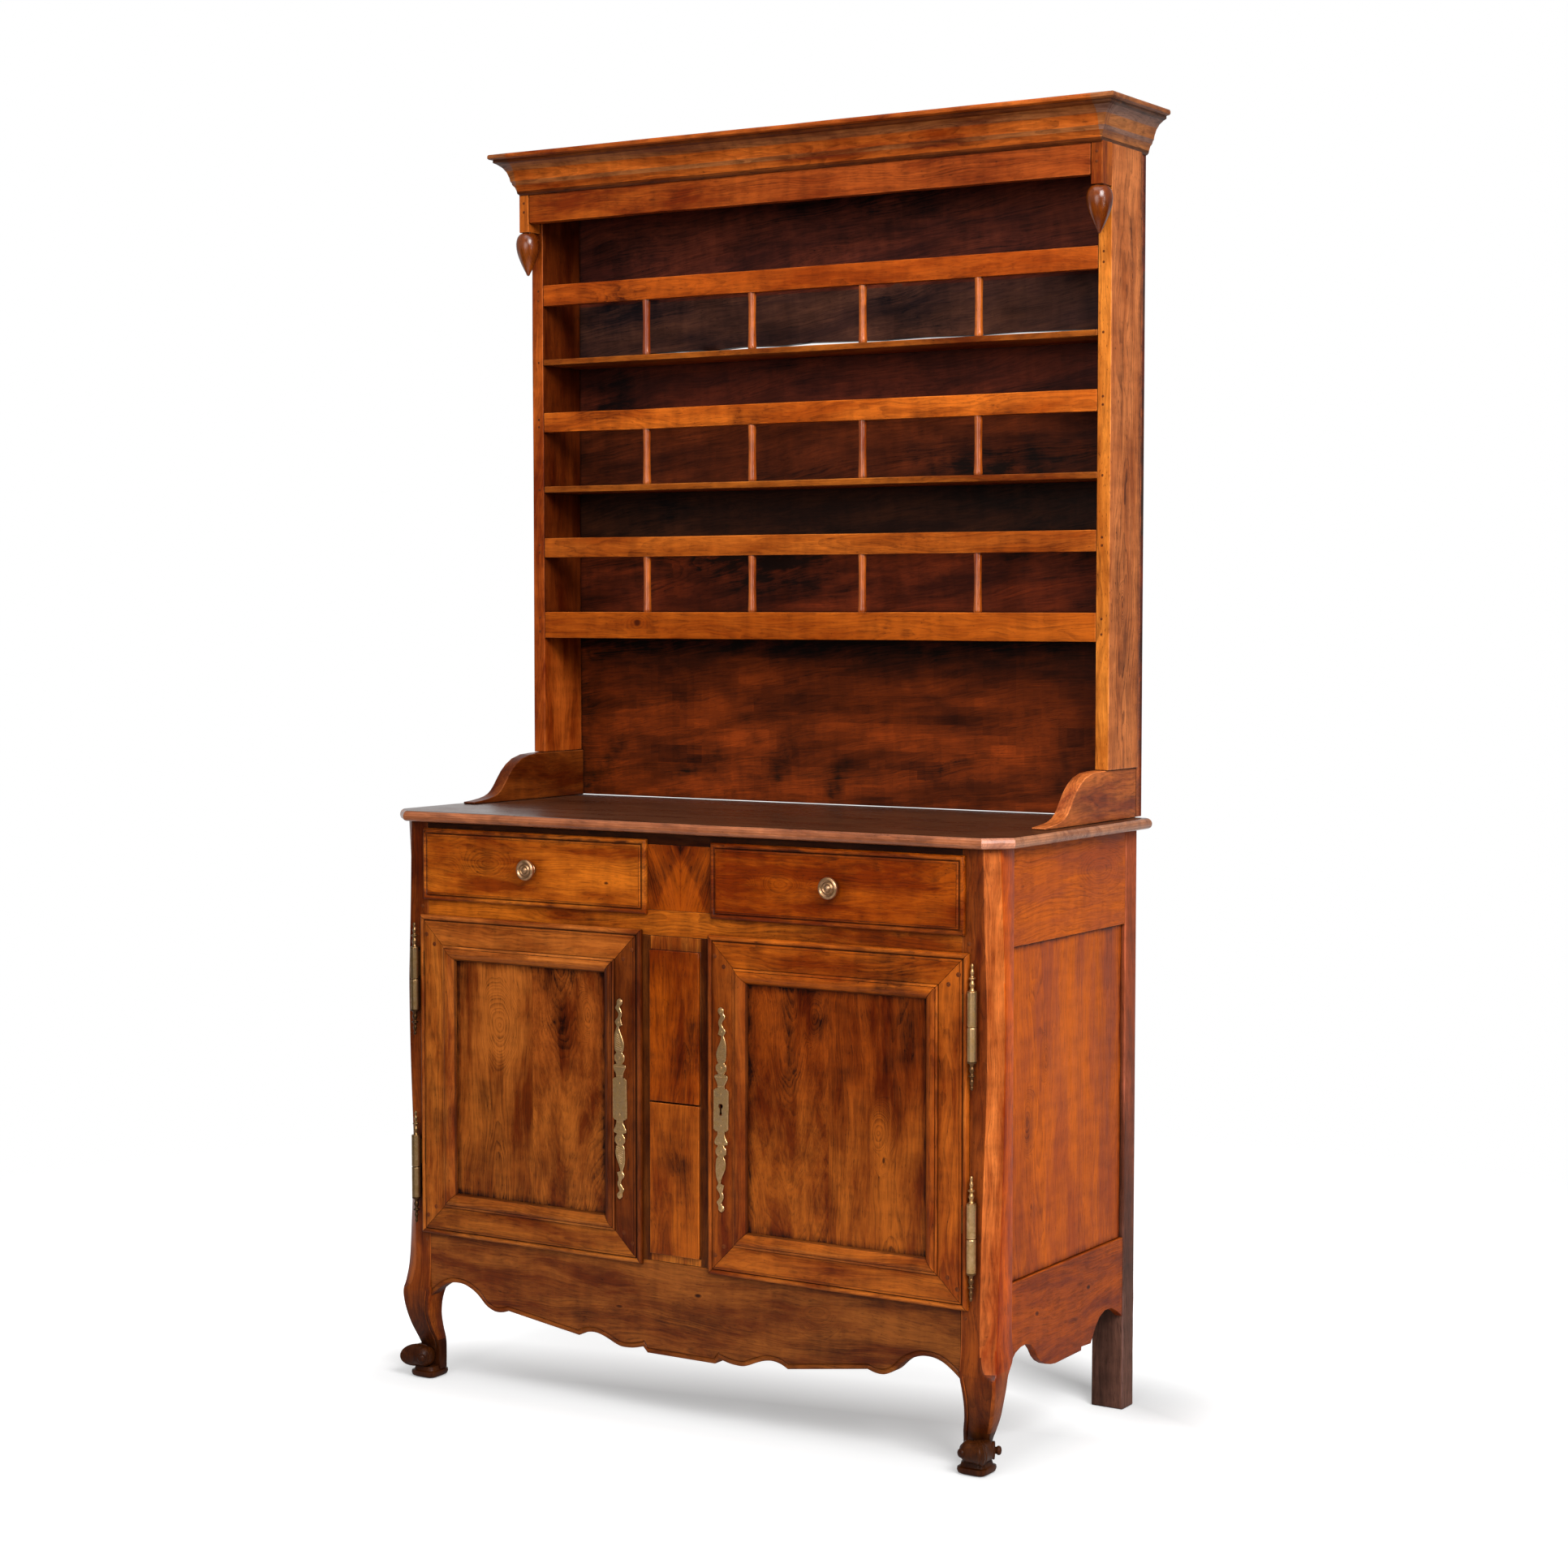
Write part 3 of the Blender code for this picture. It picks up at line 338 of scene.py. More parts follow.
    # Stains come from the board's own attribute: above nought they darken, below it they leave the wood pale
    stain = put(tree, "Attribute", out="Fac", attribute_name="stain")
    soot = put(tree, "Math", {0: stain, 1: 0.0}, operation="MAXIMUM")
    smoke = put(tree, "Math", {0: soot, 1: marks["tongues"]}, operation="MULTIPLY")
    lifted = put(tree, "MapRange", {"Value": stain, "From Min": 0.0, "From Max": -1.0})
    body = put(tree, "Math", {0: fades, 1: lifted}, operation="ADD", use_clamp=True)
    body = put(tree, "Mix", {0: body, 6: linear(warm), 7: linear(pale)}, out=2, data_type="RGBA")
    dim = put(tree, "Math", {0: rings, 1: figure, 2: marks["curl"]}, operation="MULTIPLY_ADD")
    dim = put(tree, "Math", {0: pores, 1: 0.30, 2: dim}, operation="MULTIPLY_ADD")
    dim = put(tree, "Math", {0: dim, 1: marks["flecks"]}, operation="ADD")
    dim = put(tree, "Math", {0: dim, 1: marks["bundles"]}, operation="ADD")
    dim = put(tree, "Math", {0: dim, 1: smoke}, operation="ADD", use_clamp=True)
    for dot in dots:
        dim = put(tree, "Math", {0: dim, 1: dot}, operation="MAXIMUM")
    colour = put(tree, "Mix", {0: dim, 6: body, 7: linear(dark)}, out=2, data_type="RGBA")
    colour = toned(tree, colour)
    # Edges rubbed pale in places, and dirt with painted shade where another surface lies close
    rubbed = put(tree, "Attribute", out="Fac", attribute_name="worn")
    patchy = put(tree, "MapRange", {"Value": fades, "From Min": 0.1, "From Max": 0.9, "To Min": 0.05, "To Max": 0.6})
    rubbed = put(tree, "Math", {0: rubbed, 1: patchy}, operation="MULTIPLY")
    bright = {0: colour, 1: (1.5, 1.7, 2.2), 2: (0.02, 0.012, 0.006)}
    bright = put(tree, "VectorMath", bright, operation="MULTIPLY_ADD")
    colour = put(tree, "Mix", {0: rubbed, 6: colour, 7: bright}, out=2, data_type="RGBA")
    colour = dirt_and_painted_shade(tree, colour, shade_and_dirt_colour, 0.010, 0.80, 0.85)
    tree.links.new(colour, shader.inputs["Base Color"])
    gloss = put(tree, "Math", {0: fades, 1: pores}, operation="ADD")
    gloss = put(tree, "MapRange", {"Value": gloss, "From Max": 1.5, "To Min": rough[0], "To Max": rough[1]})
    tree.links.new(gloss, shader.inputs["Roughness"])
    shader.inputs["IOR"].default_value = 1.48
    shader.inputs["Specular IOR Level"].default_value = shine
    # Pores and late wood stand as fine relief, over the shallow waves that a hand plane leaves
    planed = put(tree, "VectorMath", {0: grain, 1: (1 / 0.16, 1 / 0.045, 1 / 0.045)}, operation="MULTIPLY")
    planed = put(tree, "TexNoise", {"Vector": planed, "Scale": 1.0, "Detail": 1.0})
    wavy = put(tree, "Bump", {"Height": planed, "Strength": 0.25, "Distance": 0.002})
    relief = {"Height": put(tree, "Math", {0: pores, 1: rings}, operation="ADD"), "Normal": wavy}
    fine = put(tree, "Bump", {**relief, "Strength": 0.12, "Distance": 0.0005}, invert=True)
    tree.links.new(fine, shader.inputs["Normal"])
    return made


print("fruitwood ready")

# %% The woods of this piece
# Each wood's dark colour for places near other surfaces, given below where it differs, stands for dirt and painted
# shade.
CHERRY, HONEY = ("B2601A", "722E06", "260B02"), ("C9681F", "9C460E", "461803")
# Planed and waxed: deep red brown, soft gloss, darker late wood
waxed = fruitwood("waxed cherry", *CHERRY)
# Rubbed by plates and hands until the stain is nearly gone: paler, yellower
honey = fruitwood("waxed cherry, rubbed", *HONEY, figure=0.24)
# Polished often and darkened by light: cool brown, and the only wood here that mirrors
table_wood = fruitwood(
    "polished walnut-brown cherry", "7A4C31", "5C3522", "2E170D", figure=0.24, rough=(0.24, 0.38), shine=0.5
)
# Smoke and soot in an open grain: dull, black in the blotches
smoked = fruitwood("smoked old boards", "5E2A12", "3A180B", "120805", figure=0.3, rough=(0.38, 0.6), shade_and_dirt_colour="080403")
# Stained and never waxed: a dry grey brown
black_leg = fruitwood("dark stained oak", "5A3B2E", "3B251C", "1A0F0B", rough=(0.4, 0.6))
# Sawn and left bare inside the drawers: pale, matt, strongly striped
lining = fruitwood("plain pine lining", "C79A63", "AD7D48", "7A4F28", figure=0.34, rough=(0.55, 0.72), shade_and_dirt_colour="3A2412")
# Bare too, but older and dirtier, in the cupboard
inside_wood = fruitwood(
    "bare cupboard boards", "7E5230", "64401F", "331C0E", figure=0.3, rough=(0.5, 0.7), shade_and_dirt_colour="160C06"
)
print("woods", [look.name for look in (waxed, honey, table_wood, smoked, black_leg, lining, inside_wood)])

# %% [markdown]
# ## Dull brass and black iron
#
# The plates and hinges are cast brass, filed, punched and then handled for years: high places are
# rubbed bright and yellow, hollows hold brown tarnish. Metal takes its whole look from reflection, so
# roughness carries the wear as much as colour does. The bolt is forged iron with a dry dark scale.

# %% Brass and iron
def cast_metal(name, bright, dull, crust, rough, scale):
    """Cast and handled metal: rubbed high places, tarnish in the hollows, blotches of a real size in metres."""
    made, tree, shader = blank(name)
    here = put(tree, "TexCoord", out="Object")
    cloudy = put(tree, "TexNoise", {"Vector": here, "Scale": 1 / scale, "Detail": 5.0, "Roughness": 0.65})
    cloudy = put(tree, "MapRange", {"Value": cloudy, "From Min": 0.35, "From Max": 0.65})
    colour = put(tree, "Mix", {0: cloudy, 6: linear(dull), 7: linear(bright)}, out=2, data_type="RGBA")
    colour = dirt_and_painted_shade(tree, toned(tree, colour), crust, 0.003, 0.7, 0.8)
    tree.links.new(colour, shader.inputs["Base Color"])
    # Fine pitting left by the sand mould, about half a millimetre across
    pits = put(tree, "TexNoise", {"Vector": here, "Scale": 1 / 0.0006, "Detail": 2.0})
    shine = put(tree, "MapRange", {"Value": cloudy, "To Min": rough[1], "To Max": rough[0]})
    tree.links.new(shine, shader.inputs["Roughness"])
    dents = put(tree, "Bump", {"Height": pits, "Strength": 0.06, "Distance": 0.0002})
    tree.links.new(dents, shader.inputs["Normal"])
    shader.inputs["Metallic"].default_value = 1.0
    return made


# Cast, filed and handled: dull straw yellow with broad soft highlights
brass = cast_metal("handled cast brass", "E4B885", "B88F59", "2A1B0C", (0.32, 0.48), 0.008)
# Forged and left black: a dry scale that hardly shines
iron = cast_metal("forged black iron", "5A544C", "39342F", "15110E", (0.42, 0.62), 0.005)
print("metals", brass.name, iron.name)

# %% [markdown]
# ## Dressing a board
#
# A CAD board has knife edges and no grain. Each is copied, its sharp edges are rounded by a bevel of a
# millimetre or two and those faces are marked as worn, and every point is told how far it lies along,
# across and through its board, measured from the heart of the tree it came from. Two boards cut from
# one and opened like a book share a heart, mirrored at the seam.

# %% Copy a board and round its edges
AXES = {"X": 0, "Y": 1, "Z": 2}


def carrier(node):
    """The name of the body that carries a CAD node."""
    return next(name for name, empty in frame["bodies"].items() if empty is frame["nodes"][node].parent)


def board(node):
    """A working copy of a CAD node, its flat faces whole again."""
    shape = bmesh.new()
    shape.from_mesh(frame["nodes"][node].data)
    bmesh.ops.remove_doubles(shape, verts=shape.verts, dist=1e-6)
    bmesh.ops.dissolve_limit(shape, angle_limit=math.radians(0.5), verts=shape.verts, edges=shape.edges)
    return shape


def soften(shape, width, least=0.0, sharpest=25):
    """Round the sharp edges longer than least, and mark them worn."""
    worn = shape.faces.layers.float.get("worn") or shape.faces.layers.float.new("worn")
    edges = [
        edge
        for edge in shape.edges
        if len(edge.link_faces) == 2
        and edge.calc_face_angle(0) > math.radians(sharpest)
        and edge.calc_length() > least
    ]
    made = bmesh.ops.bevel(
        shape, geom=edges, offset=width, offset_type="OFFSET", segments=2, profile=0.5, affect="EDGES",
        clamp_overlap=True,
    )
    for face in made["faces"]:
        face[worn] = 1.0


print("body of a door stile:", carrier("door_hinge_stile_left"))


# %% Cut a board and lay its grain
def cut_at(shape, axis, *places):
    """Cut right through a board at places on one axis."""
    normal = Vector([float(AXES[axis] == n) for n in range(3)])
    for place in places:
        geometry = shape.verts[:] + shape.edges[:] + shape.faces[:]
        bmesh.ops.bisect_plane(shape, geom=geometry, plane_co=normal * place, plane_no=normal, dist=1e-6)


def slice_up(shape, **steps):
    """Cut a board into strips of about one step on each axis, so that it can carry stains and gentle waves."""
    for axis, step in steps.items():
        places = [vert.co[AXES[axis]] for vert in shape.verts]
        low, high = min(places), max(places)
        count = max(1, round((high - low) / step))
        cut_at(shape, axis, *(low + (high - low) * n / count for n in range(1, count)))


def lay_grain(shape, name, along, across, heart=None, seam=None, tilt=0.0):
    """Write each point's place in its board, and return the function that gives it."""
    a, b = AXES[along], AXES[across]
    c = 3 - a - b
    low = [min(vert.co[k] for vert in shape.verts) for k in range(3)]
    high = [max(vert.co[k] for vert in shape.verts) for k in range(3)]
    middle = [(p + q) / 2 for p, q in zip(low, high)]
    lots = random.Random(name)
    start = lots.uniform(-4, 4)
    wide = min(high[b] - low[b], 0.3)
    off, deep, lean = heart or (
        lots.uniform(-0.4, 0.4) * wide, lots.uniform(0.02, 0.07), lots.uniform(-0.05, 0.05)
    )
    cos, sin = math.cos(tilt), math.sin(tilt)

    def spot(point):
        run = point[a] - middle[a]
        wide = abs(point[b] - seam) if seam is not None else point[b] - middle[b]
        run, wide = run * cos + wide * sin, wide * cos - run * sin
        return (run + start, wide - off, point[c] - middle[c] + deep + lean * run)

    layer = shape.verts.layers.float_vector.new("grain")
    for vert in shape.verts:
        vert[layer] = Vector(spot(vert.co))
    return spot


print("axes", AXES)


# %% Tone, stain and bend a board, and settle it on its body
def tint(shape, rule):
    """Give each face a tone: a multiplier for red, green and blue, from its middle and its normal."""
    layer = shape.faces.layers.float_vector.get("tone") or shape.faces.layers.float_vector.new("tone")
    shape.normal_update()
    for face in shape.faces:
        value = rule(face.calc_center_median(), face.normal) if callable(rule) else rule
        face[layer] = Vector(value) - Vector((1, 1, 1))


def stain(shape, axes, spots):
    """Dark (or, below nought, light) patches: (place, place, reach, reach, amount) on two axes."""
    layer = shape.verts.layers.float.get("stain") or shape.verts.layers.float.new("stain")
    u, v = AXES[axes[0]], AXES[axes[1]]
    for vert in shape.verts:
        for pu, pv, ru, rv, amount in spots:
            vert[layer] += amount * math.exp(-(((vert.co[u] - pu) / ru) ** 2) - ((vert.co[v] - pv) / rv) ** 2)


def warp(shape, amount, reach):
    """Move the points by a slow noise, so that long edges are not dead straight."""
    for vert in shape.verts:
        vert.co += amount * noise.noise_vector(vert.co / reach)


def settle(shape, name, look, node=None, body="carcase", slot="fruitwood", sharp=40, weighted=True):
    """Turn a worked shape into a piece that rides on its body."""
    mesh = bpy.data.meshes.new(name)
    shape.to_mesh(mesh)
    shape.free()
    mesh.polygons.foreach_set("use_smooth", [True] * len(mesh.polygons))
    mesh.set_sharp_from_angle(angle=math.radians(sharp))
    mesh.materials.append(look)
    piece = bpy.data.objects.new(name, mesh)
    scene.collection.objects.link(piece)
    if weighted:
        piece.modifiers.new("flat faces", "WEIGHTED_NORMAL").keep_sharp = True
    if node:
        body, slot = carrier(node), slots[node]
        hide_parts(node)
    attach(piece, body)
    return piece


print("slots", sorted(set(slots.values())))

# %% [markdown]
# ## Turned and carved curves
#
# Lathe work and scalloped edges need finer curves than the CAD rows. One function runs a smooth curve
# through a row of points but keeps the corners it is told to keep; another spins such a profile round
# an axis. Curve objects could do the same, but plain meshes can carry the grain attribute.

# %% Smooth lines and lathe forms
def flowing(points, steps=4, corners=()):
    """A smooth line through points; at a corner (by index) the line may turn sharply."""
    stops = sorted({0, len(points) - 1, *corners})
    line = []
    for first, last in zip(stops, stops[1:]):
        run = [Vector(point) for point in points[first : last + 1]]
        for k in range(len(run) - 1):
            a, b, c, d = run[max(k - 1, 0)], run[k], run[k + 1], run[min(k + 2, len(run) - 1)]
            for n in range(steps):
                t = n / steps
                pull = (2 * a - 5 * b + 4 * c - d) * t**2 + (3 * b - a - 3 * c + d) * t**3
                line.append((2 * b + (c - a) * t + pull) / 2)
    return [*line, Vector(points[-1])]


def millimetres(rows):
    """Rows written in millimetres, as metres."""
    return [tuple(value * MM for value in row) for row in rows]


def spin(shape, profile, matrix, sides=40):
    """Add a lathe form: (radius, height) rows from the axis to the axis, placed by a matrix."""
    rings = []
    for radius, height in profile:
        turns = sides if radius > 1e-6 else 1
        angles = [math.tau * k / sides for k in range(turns)]
        points = [Vector((radius * math.cos(t), radius * math.sin(t), height)) for t in angles]
        rings.append([shape.verts.new(matrix @ point) for point in points])
    for lower, upper in zip(rings, rings[1:]):
        for k in range(sides):
            loop = [lower[n % len(lower)] for n in (k, k + 1)] + [upper[n % len(upper)] for n in (k + 1, k)]
            loop = list(dict.fromkeys(loop))
            if len(loop) > 2:
                shape.faces.new(loop)


def turned(rows, steps, corners=()):
    """A smooth lathe profile through rows of (radius, height) that start or end on the axis."""
    return [(max(point.x, 0), point.y) for point in flowing(rows, steps, corners)]


print("a smooth line through 3 points has", len(flowing([(0, 0), (1, 1), (2, 0)])), "points")


# %% Skins, planks and joined solids
def outward(shape):
    """Turn every face to look out."""
    bmesh.ops.recalc_face_normals(shape, faces=shape.faces)


def skin(shape, rings):
    """Add a closed skin through rings of equal length, with a face at each end."""
    made = [[shape.verts.new(point) for point in ring] for ring in rings]
    count = len(made[0])
    for lower, upper in zip(made, made[1:]):
        for k in range(count):
            shape.faces.new((lower[k], lower[(k + 1) % count], upper[(k + 1) % count], upper[k]))
    shape.faces.new(made[0][::-1])
    shape.faces.new(made[-1])


def loft(rings):
    """A new closed shape through rings of equal length."""
    shape = bmesh.new()
    skin(shape, rings)
    outward(shape)
    return shape


def box_rings(x, y, z):
    """The lower and the upper edge of a board between two corners."""
    (x0, x1), (y0, y1), (z0, z1) = sorted(x), sorted(y), sorted(z)
    return [[(x0, y0, h), (x1, y0, h), (x1, y1, h), (x0, y1, h)] for h in (z0, z1)]


def plank(x, y, z):
    """A new board between two corners."""
    return loft(box_rings(x, y, z))


def fuse(shape, others, operation):
    """Join other shapes to this one, or cut them from it, as solids."""
    made = []
    for part in (shape, *others):
        mesh = bpy.data.meshes.new("working")
        outward(part)
        part.to_mesh(mesh)
        part.free()
        made.append(bpy.data.objects.new("working", mesh))
        scene.collection.objects.link(made[-1])
    for tool in made[1:]:
        modifier = made[0].modifiers.new(operation, "BOOLEAN")
        modifier.operation, modifier.solver, modifier.object = operation, "EXACT", tool
    graph = bpy.context.evaluated_depsgraph_get()
    result = bmesh.new()
    result.from_mesh(made[0].evaluated_get(graph).to_mesh())
    for part in made:
        bpy.data.objects.remove(part)
    return result


print("a plank has", len(plank((0, 1), (0, 1), (0, 1)).faces), "faces")

# %% [markdown]
# ## Plain boards and rails
#
# Most of the carcase is flat boards: planed, tenoned and pegged. They only need their softened edges,
# their own direction of grain, a tone each, because no two boards darken alike, and a slow wave where
# they are fixed, so that light does not run along a perfect line. The top rail's near-black tone is painted
# shadow under the table's edge. The left side of the rack is a little thicker than its solid, as the real
# one is, and its inner face is painted dark with shade within the bays.

# %% Plain boards of both stages
# The outer sides of the posts, and the left side's rail and panel, are painted lighter, as if lit from that side
LIT_OUTER_SIDE_TONE = (1.6, 0.98, 0.5)
RACK_SIDE, RACK_MORE, BAYS_LOW = 0.572, 4 * MM, 1.28


def rack_side_tone(at, way):
    """Dark with painted shade on the inner face within the bays, above the bottom shelf, and plain elsewhere."""
    if way.x > 0.7 and at.z > BAYS_LOW:
        return (0.34, 0.22, 0.24)
    return (1.13, 0.83, 0.9)


# along, across, wood, tone, rounding in mm
plain = {
    # the top rail is toned near black: painted shadow under the table's edge
    "top_rail": ("X", "Z", waxed, (0.14, 0.12, 0.14), 1.0),
    "drawer_rail": ("X", "Z", waxed, (1.25, 1.1, 0.6), 0.8),
    "side_rail_left": ("Y", "Z", waxed, LIT_OUTER_SIDE_TONE, 1.0),
    "lower_back": ("X", "Z", smoked, (1.5, 1.5, 1.6), 1.0),
    "cupboard_floor": ("X", "Y", inside_wood, (1, 1, 1), 1.0),
    "cupboard_shelf": ("X", "Y", inside_wood, (1, 1, 1), 1.5),
    "runner_frame": ("X", "Y", inside_wood, (1, 1, 1), 0.8),
    "upper_side_left": ("Z", "Y", waxed, rack_side_tone, 1.4),
    "bracket_left": ("Y", "Z", waxed, (0.42, 0.33, 0.4), 1.4),
    "bracket_right": ("Y", "Z", waxed, (1.44, 1.45, 3.6), 1.4),
    "shelf_1": ("X", "Y", waxed, (0.9, 0.85, 0.8), 1.4),
    "shelf_2": ("X", "Y", waxed, (0.9, 0.85, 0.8), 1.6),
    "side_panel_left": ("Z", "Y", waxed, LIT_OUTER_SIDE_TONE, 1.0),
    "side_apron_left": ("Y", "Z", waxed, (1.2, 1.15, 1.6), 1.4),
}
# place along the rail, reach, amount
rail_patches = [
    (-0.38, 0.05, -1.0), (-0.29, 0.04, -0.6), (0.1, 0.25, 0.22), (0.20, 0.05, 0.3), (-0.20, 0.05, 0.35),
    (0.38, 0.10, 0.2),
]
waves = {"shelf_1": 0.5, "shelf_2": 1.4, "upper_side_left": 0.6, "bracket_left": 0.4, "bracket_right": 0.4}
for node, (along, across, look, tone, soft) in plain.items():
    shape = board(node)
    if node == "upper_side_left":
        for vert in shape.verts:
            vert.co.x -= RACK_MORE * (vert.co.x < -RACK_SIDE)
    soften(shape, soft * MM)
    slice_up(shape, **{along: 0.08})
    lay_grain(shape, node, along, across)
    tint(shape, tone)
    if node == "drawer_rail":
        slice_up(shape, X=0.02)
        stain(shape, "XZ", [(x, 0.812, reach, 0.03, amount) for x, reach, amount in rail_patches])
    if node in waves:
        warp(shape, waves[node] * MM, 0.25)
    settle(shape, node + "_worn", look, node)
print("plain boards", len(plain))

# %% [markdown]
# ## Sides that the light strikes
#
# The right side is the brightest face of the piece. Its panel stands upright between a rail and a
# scalloped apron and has shrunk away from the rear leg, which leaves a dark gap. Knots sit where the
# real board has them: around one, the rings close into small ovals with a dark heart.

# %% Right side panel
AMBER, SIDE_TONE = ("C86C28", "A04C16", "561F08"), (1.07, 0.79, 0.2)
SHRUNK = 3.5 * MM


def knotted(shape, name, node, along, across, places, pale, warm, dark, **more):
    """Lay the grain and make this board's own wood, with knots at points in the part frame."""
    keep = {key: more.pop(key) for key in ("heart", "seam", "tilt") if key in more}
    spot = lay_grain(shape, node, along, across, **keep)
    knots = [(*spot(point)[:2], size, core) for point, size, core in places]
    return fruitwood(name, pale, warm, dark, knots=knots, **more)


shape = board("side_panel_right")
for vert in shape.verts:
    if vert.co.y > 0.216:
        vert.co.y -= SHRUNK
soften(shape, 1.2 * MM)
low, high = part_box("side_panel_right")
slice_up(shape, Z=0.03, Y=0.03)
cut_at(shape, "Y", high[1] - 0.014)
cut_at(shape, "Z", low[2] + 0.012, high[2] - 0.012)
# The last three spots darken the rear, lower and upper edges of the panel: painted shadow in the shrink gap and where
# the rail and the apron stand proud of it.
stain(shape, "YZ", [
    (-0.14, 0.36, 0.06, 0.10, 0.25), (0.18, 0.55, 0.05, 0.3, 0.15), (0.02, 0.62, 0.06, 0.15, -0.5),
    (-0.055, 0.63, 0.012, 0.05, 0.45), (-0.118, 0.52, 0.012, 0.06, 0.4), (0.08, 0.45, 0.014, 0.12, 0.3),
    (high[1] - 0.003, 0, 0.007, 9, 0.8), (0, low[2], 9, 0.007, 0.5), (0, high[2], 9, 0.007, 0.6),
])
tint(shape, SIDE_TONE)
look = knotted(
    shape, "waxed cherry, side panel", "side_panel_right", "Z", "Y",
    [((0.568, -0.055, 0.622), 0.008, 0.5), ((0.568, -0.118, 0.530), 0.011, 0.75), ((0.568, -0.105, 0.395), 0.005, 0.8)],
    *AMBER, ring=5 * MM,
)
settle(shape, "side_panel_right_worn", look, "side_panel_right")

# %% Side rail and side apron
apron_knots = [((0.573, 0.09, 0.235), 0.006, 0.9), ((0.573, -0.09, 0.225), 0.006, 0.8)]
# rounding in mm, slice, tone, knots, colours, ring
side_members = {
    "side_rail": (1.0, 0.05, SIDE_TONE, [((0.573, 0.12, 0.905), 0.02, 0.25)], AMBER, 5 * MM),
    "side_apron": (1.6, 0.04, (0.92, 0.59, 0.24), apron_knots, CHERRY, 4.5 * MM),
}
for kind, (soft, step, tone, knots, colours, ring) in side_members.items():
    node = kind + "_right"
    shape = board(node)
    soften(shape, soft * MM)
    slice_up(shape, Y=step)
    tint(shape, tone)
    look = knotted(shape, "waxed cherry, " + kind.replace("_", " "), node, "Y", "Z", knots, *colours, ring=ring)
    settle(shape, node + "_worn", look, node)
print("side members", len(side_members))

# %% Right side of the rack
shape = board("upper_side_right")
for vert in shape.verts:
    vert.co.x += RACK_MORE * (vert.co.x > RACK_SIDE)
soften(shape, 1.6 * MM)
slice_up(shape, Z=0.03, Y=0.008)
stain(shape, "YZ", [
    (0.252, 1.6, 0.008, 2.0, 0.5), (0.18, 1.72, 0.009, 0.12, 0.45), (0.2, 1.25, 0.03, 0.1, 0.3),
    (0.215, 1.88, 0.007, 0.10, 0.5), (0.20, 1.50, 0.008, 0.10, 0.4), (0.17, 1.36, 0.010, 0.05, 0.45),
    (0.165, 1.95, 0.010, 0.06, 0.3), (0.225, 1.62, 0.006, 0.08, 0.35),
])
# Faces are toned by the way they look: the outer side painted lighter, as lit, the inner faces painted darker, as
# shade, and the front edge golden.
outer, fore, inner = (1.48, 1.38, 2.0), (1.7, 1.6, 1.0), (0.6, 0.45, 0.4)
tint(shape, lambda at, way: outer if way.x > 0.7 else fore if way.y < -0.7 else inner)
look = knotted(
    shape, "waxed cherry, rack side", "upper_side_right", "Z", "Y",
    [((0.573, 0.205, 1.60), 0.006, 0.9), ((0.573, 0.18, 1.33), 0.007, 0.8), ((0.573, 0.22, 1.86), 0.005, 0.8)],
    "B86E30", "8E4A18", "3E1906", figure=0.42, flecks=0.55,
)
warp(shape, 0.5 * MM, 0.3)
settle(shape, "upper_side_right_worn", look, "upper_side_right")

# %% [markdown]
# ## Rear legs
#
# The rear legs are plain square stock. Their posts are brown, and their feet are almost black and knocked
# about near the floor. A few chipped corners come from pulling points in before the edges are rounded.

# %% Rear legs
FOOT_TONE, REAR_TONE = Vector((1.45, 1.42, 1.5)), Vector((4.6, 2.2, 1.1))


def clamp(share):
    """A share kept between nought and one."""
    return min(1.0, max(0.0, share))


for tail in ("left", "right"):
    node = "leg_rear_" + tail
    shape = board(node)
    slice_up(shape, Z=0.03)
    for vert in shape.verts:
        if vert.co.z < 0.2:
            vert.co += 0.9 * MM * noise.noise_vector(vert.co * 31) * Vector((1, 1, 0))
    soften(shape, 2.2 * MM)
    lay_grain(shape, node, "Z", "X")
    tint(shape, lambda at, way: FOOT_TONE.lerp(REAR_TONE, clamp((at.z - 0.22) / 0.5)))
    settle(shape, node + "_worn", black_leg, node)

# %% [markdown]
# ## Table top
#
# The table is one wide dark board with a rounded nosing and canted front corners. It is the most
# handled surface, so it is smoother than the rest, its nosing is rubbed red and its right end is bare.

# %% Table top
shape = board("table_top")
soften(shape, 0.7 * MM, sharpest=20)
slice_up(shape, X=0.04, Y=0.04)
stain(shape, "XY", [(-0.3, 0.1, 0.25, 0.06, 0.35), (0.2, -0.05, 0.3, 0.05, 0.25), (0.1, 0.2, 0.4, 0.03, 0.4)])
lay_grain(shape, "table_top", "X", "Y", heart=(0.03, 0.05, 0.03))


def table_tone(at, way):
    """A dark top, a pale chip on the right corner, and a rubbed nosing that is barest at the right end."""
    if way.z > 0.9:
        return (0.47, 0.42, 0.35)
    if way.x > 0.3 and way.y < -0.3:
        return (3.6, 3.8, 4.6)
    if at.x > 0.57:
        return (2.45, 2.5, 2.4)
    return (2.2, 1.8, 1.42)


tint(shape, table_tone)
warp(shape, 0.5 * MM, 0.15)
settle(shape, "table_top_worn", table_wood, "table_top", sharp=60)

# %% [markdown]
# ## Drawer fronts and the divider
#
# Each front is one board with a moulding run round its edge, built here as rings that step in from the
# lip. The mouldings' crests are marked as worn, and their quirks darkened, by how far each face lies in
# from that lip. The divider between the drawers was cut in two and opened like a book, so its grain meets
# in a V over a pale triangle.

# %% Worn crests and darkened quirks of a moulding
def inset_from(at, low, high):
    """How far a point lies in from the nearest lip of a rectangle, given by two (x, z) corners."""
    return min(at.x - low[0], high[0] - at.x, at.z - low[1], high[1] - at.z)


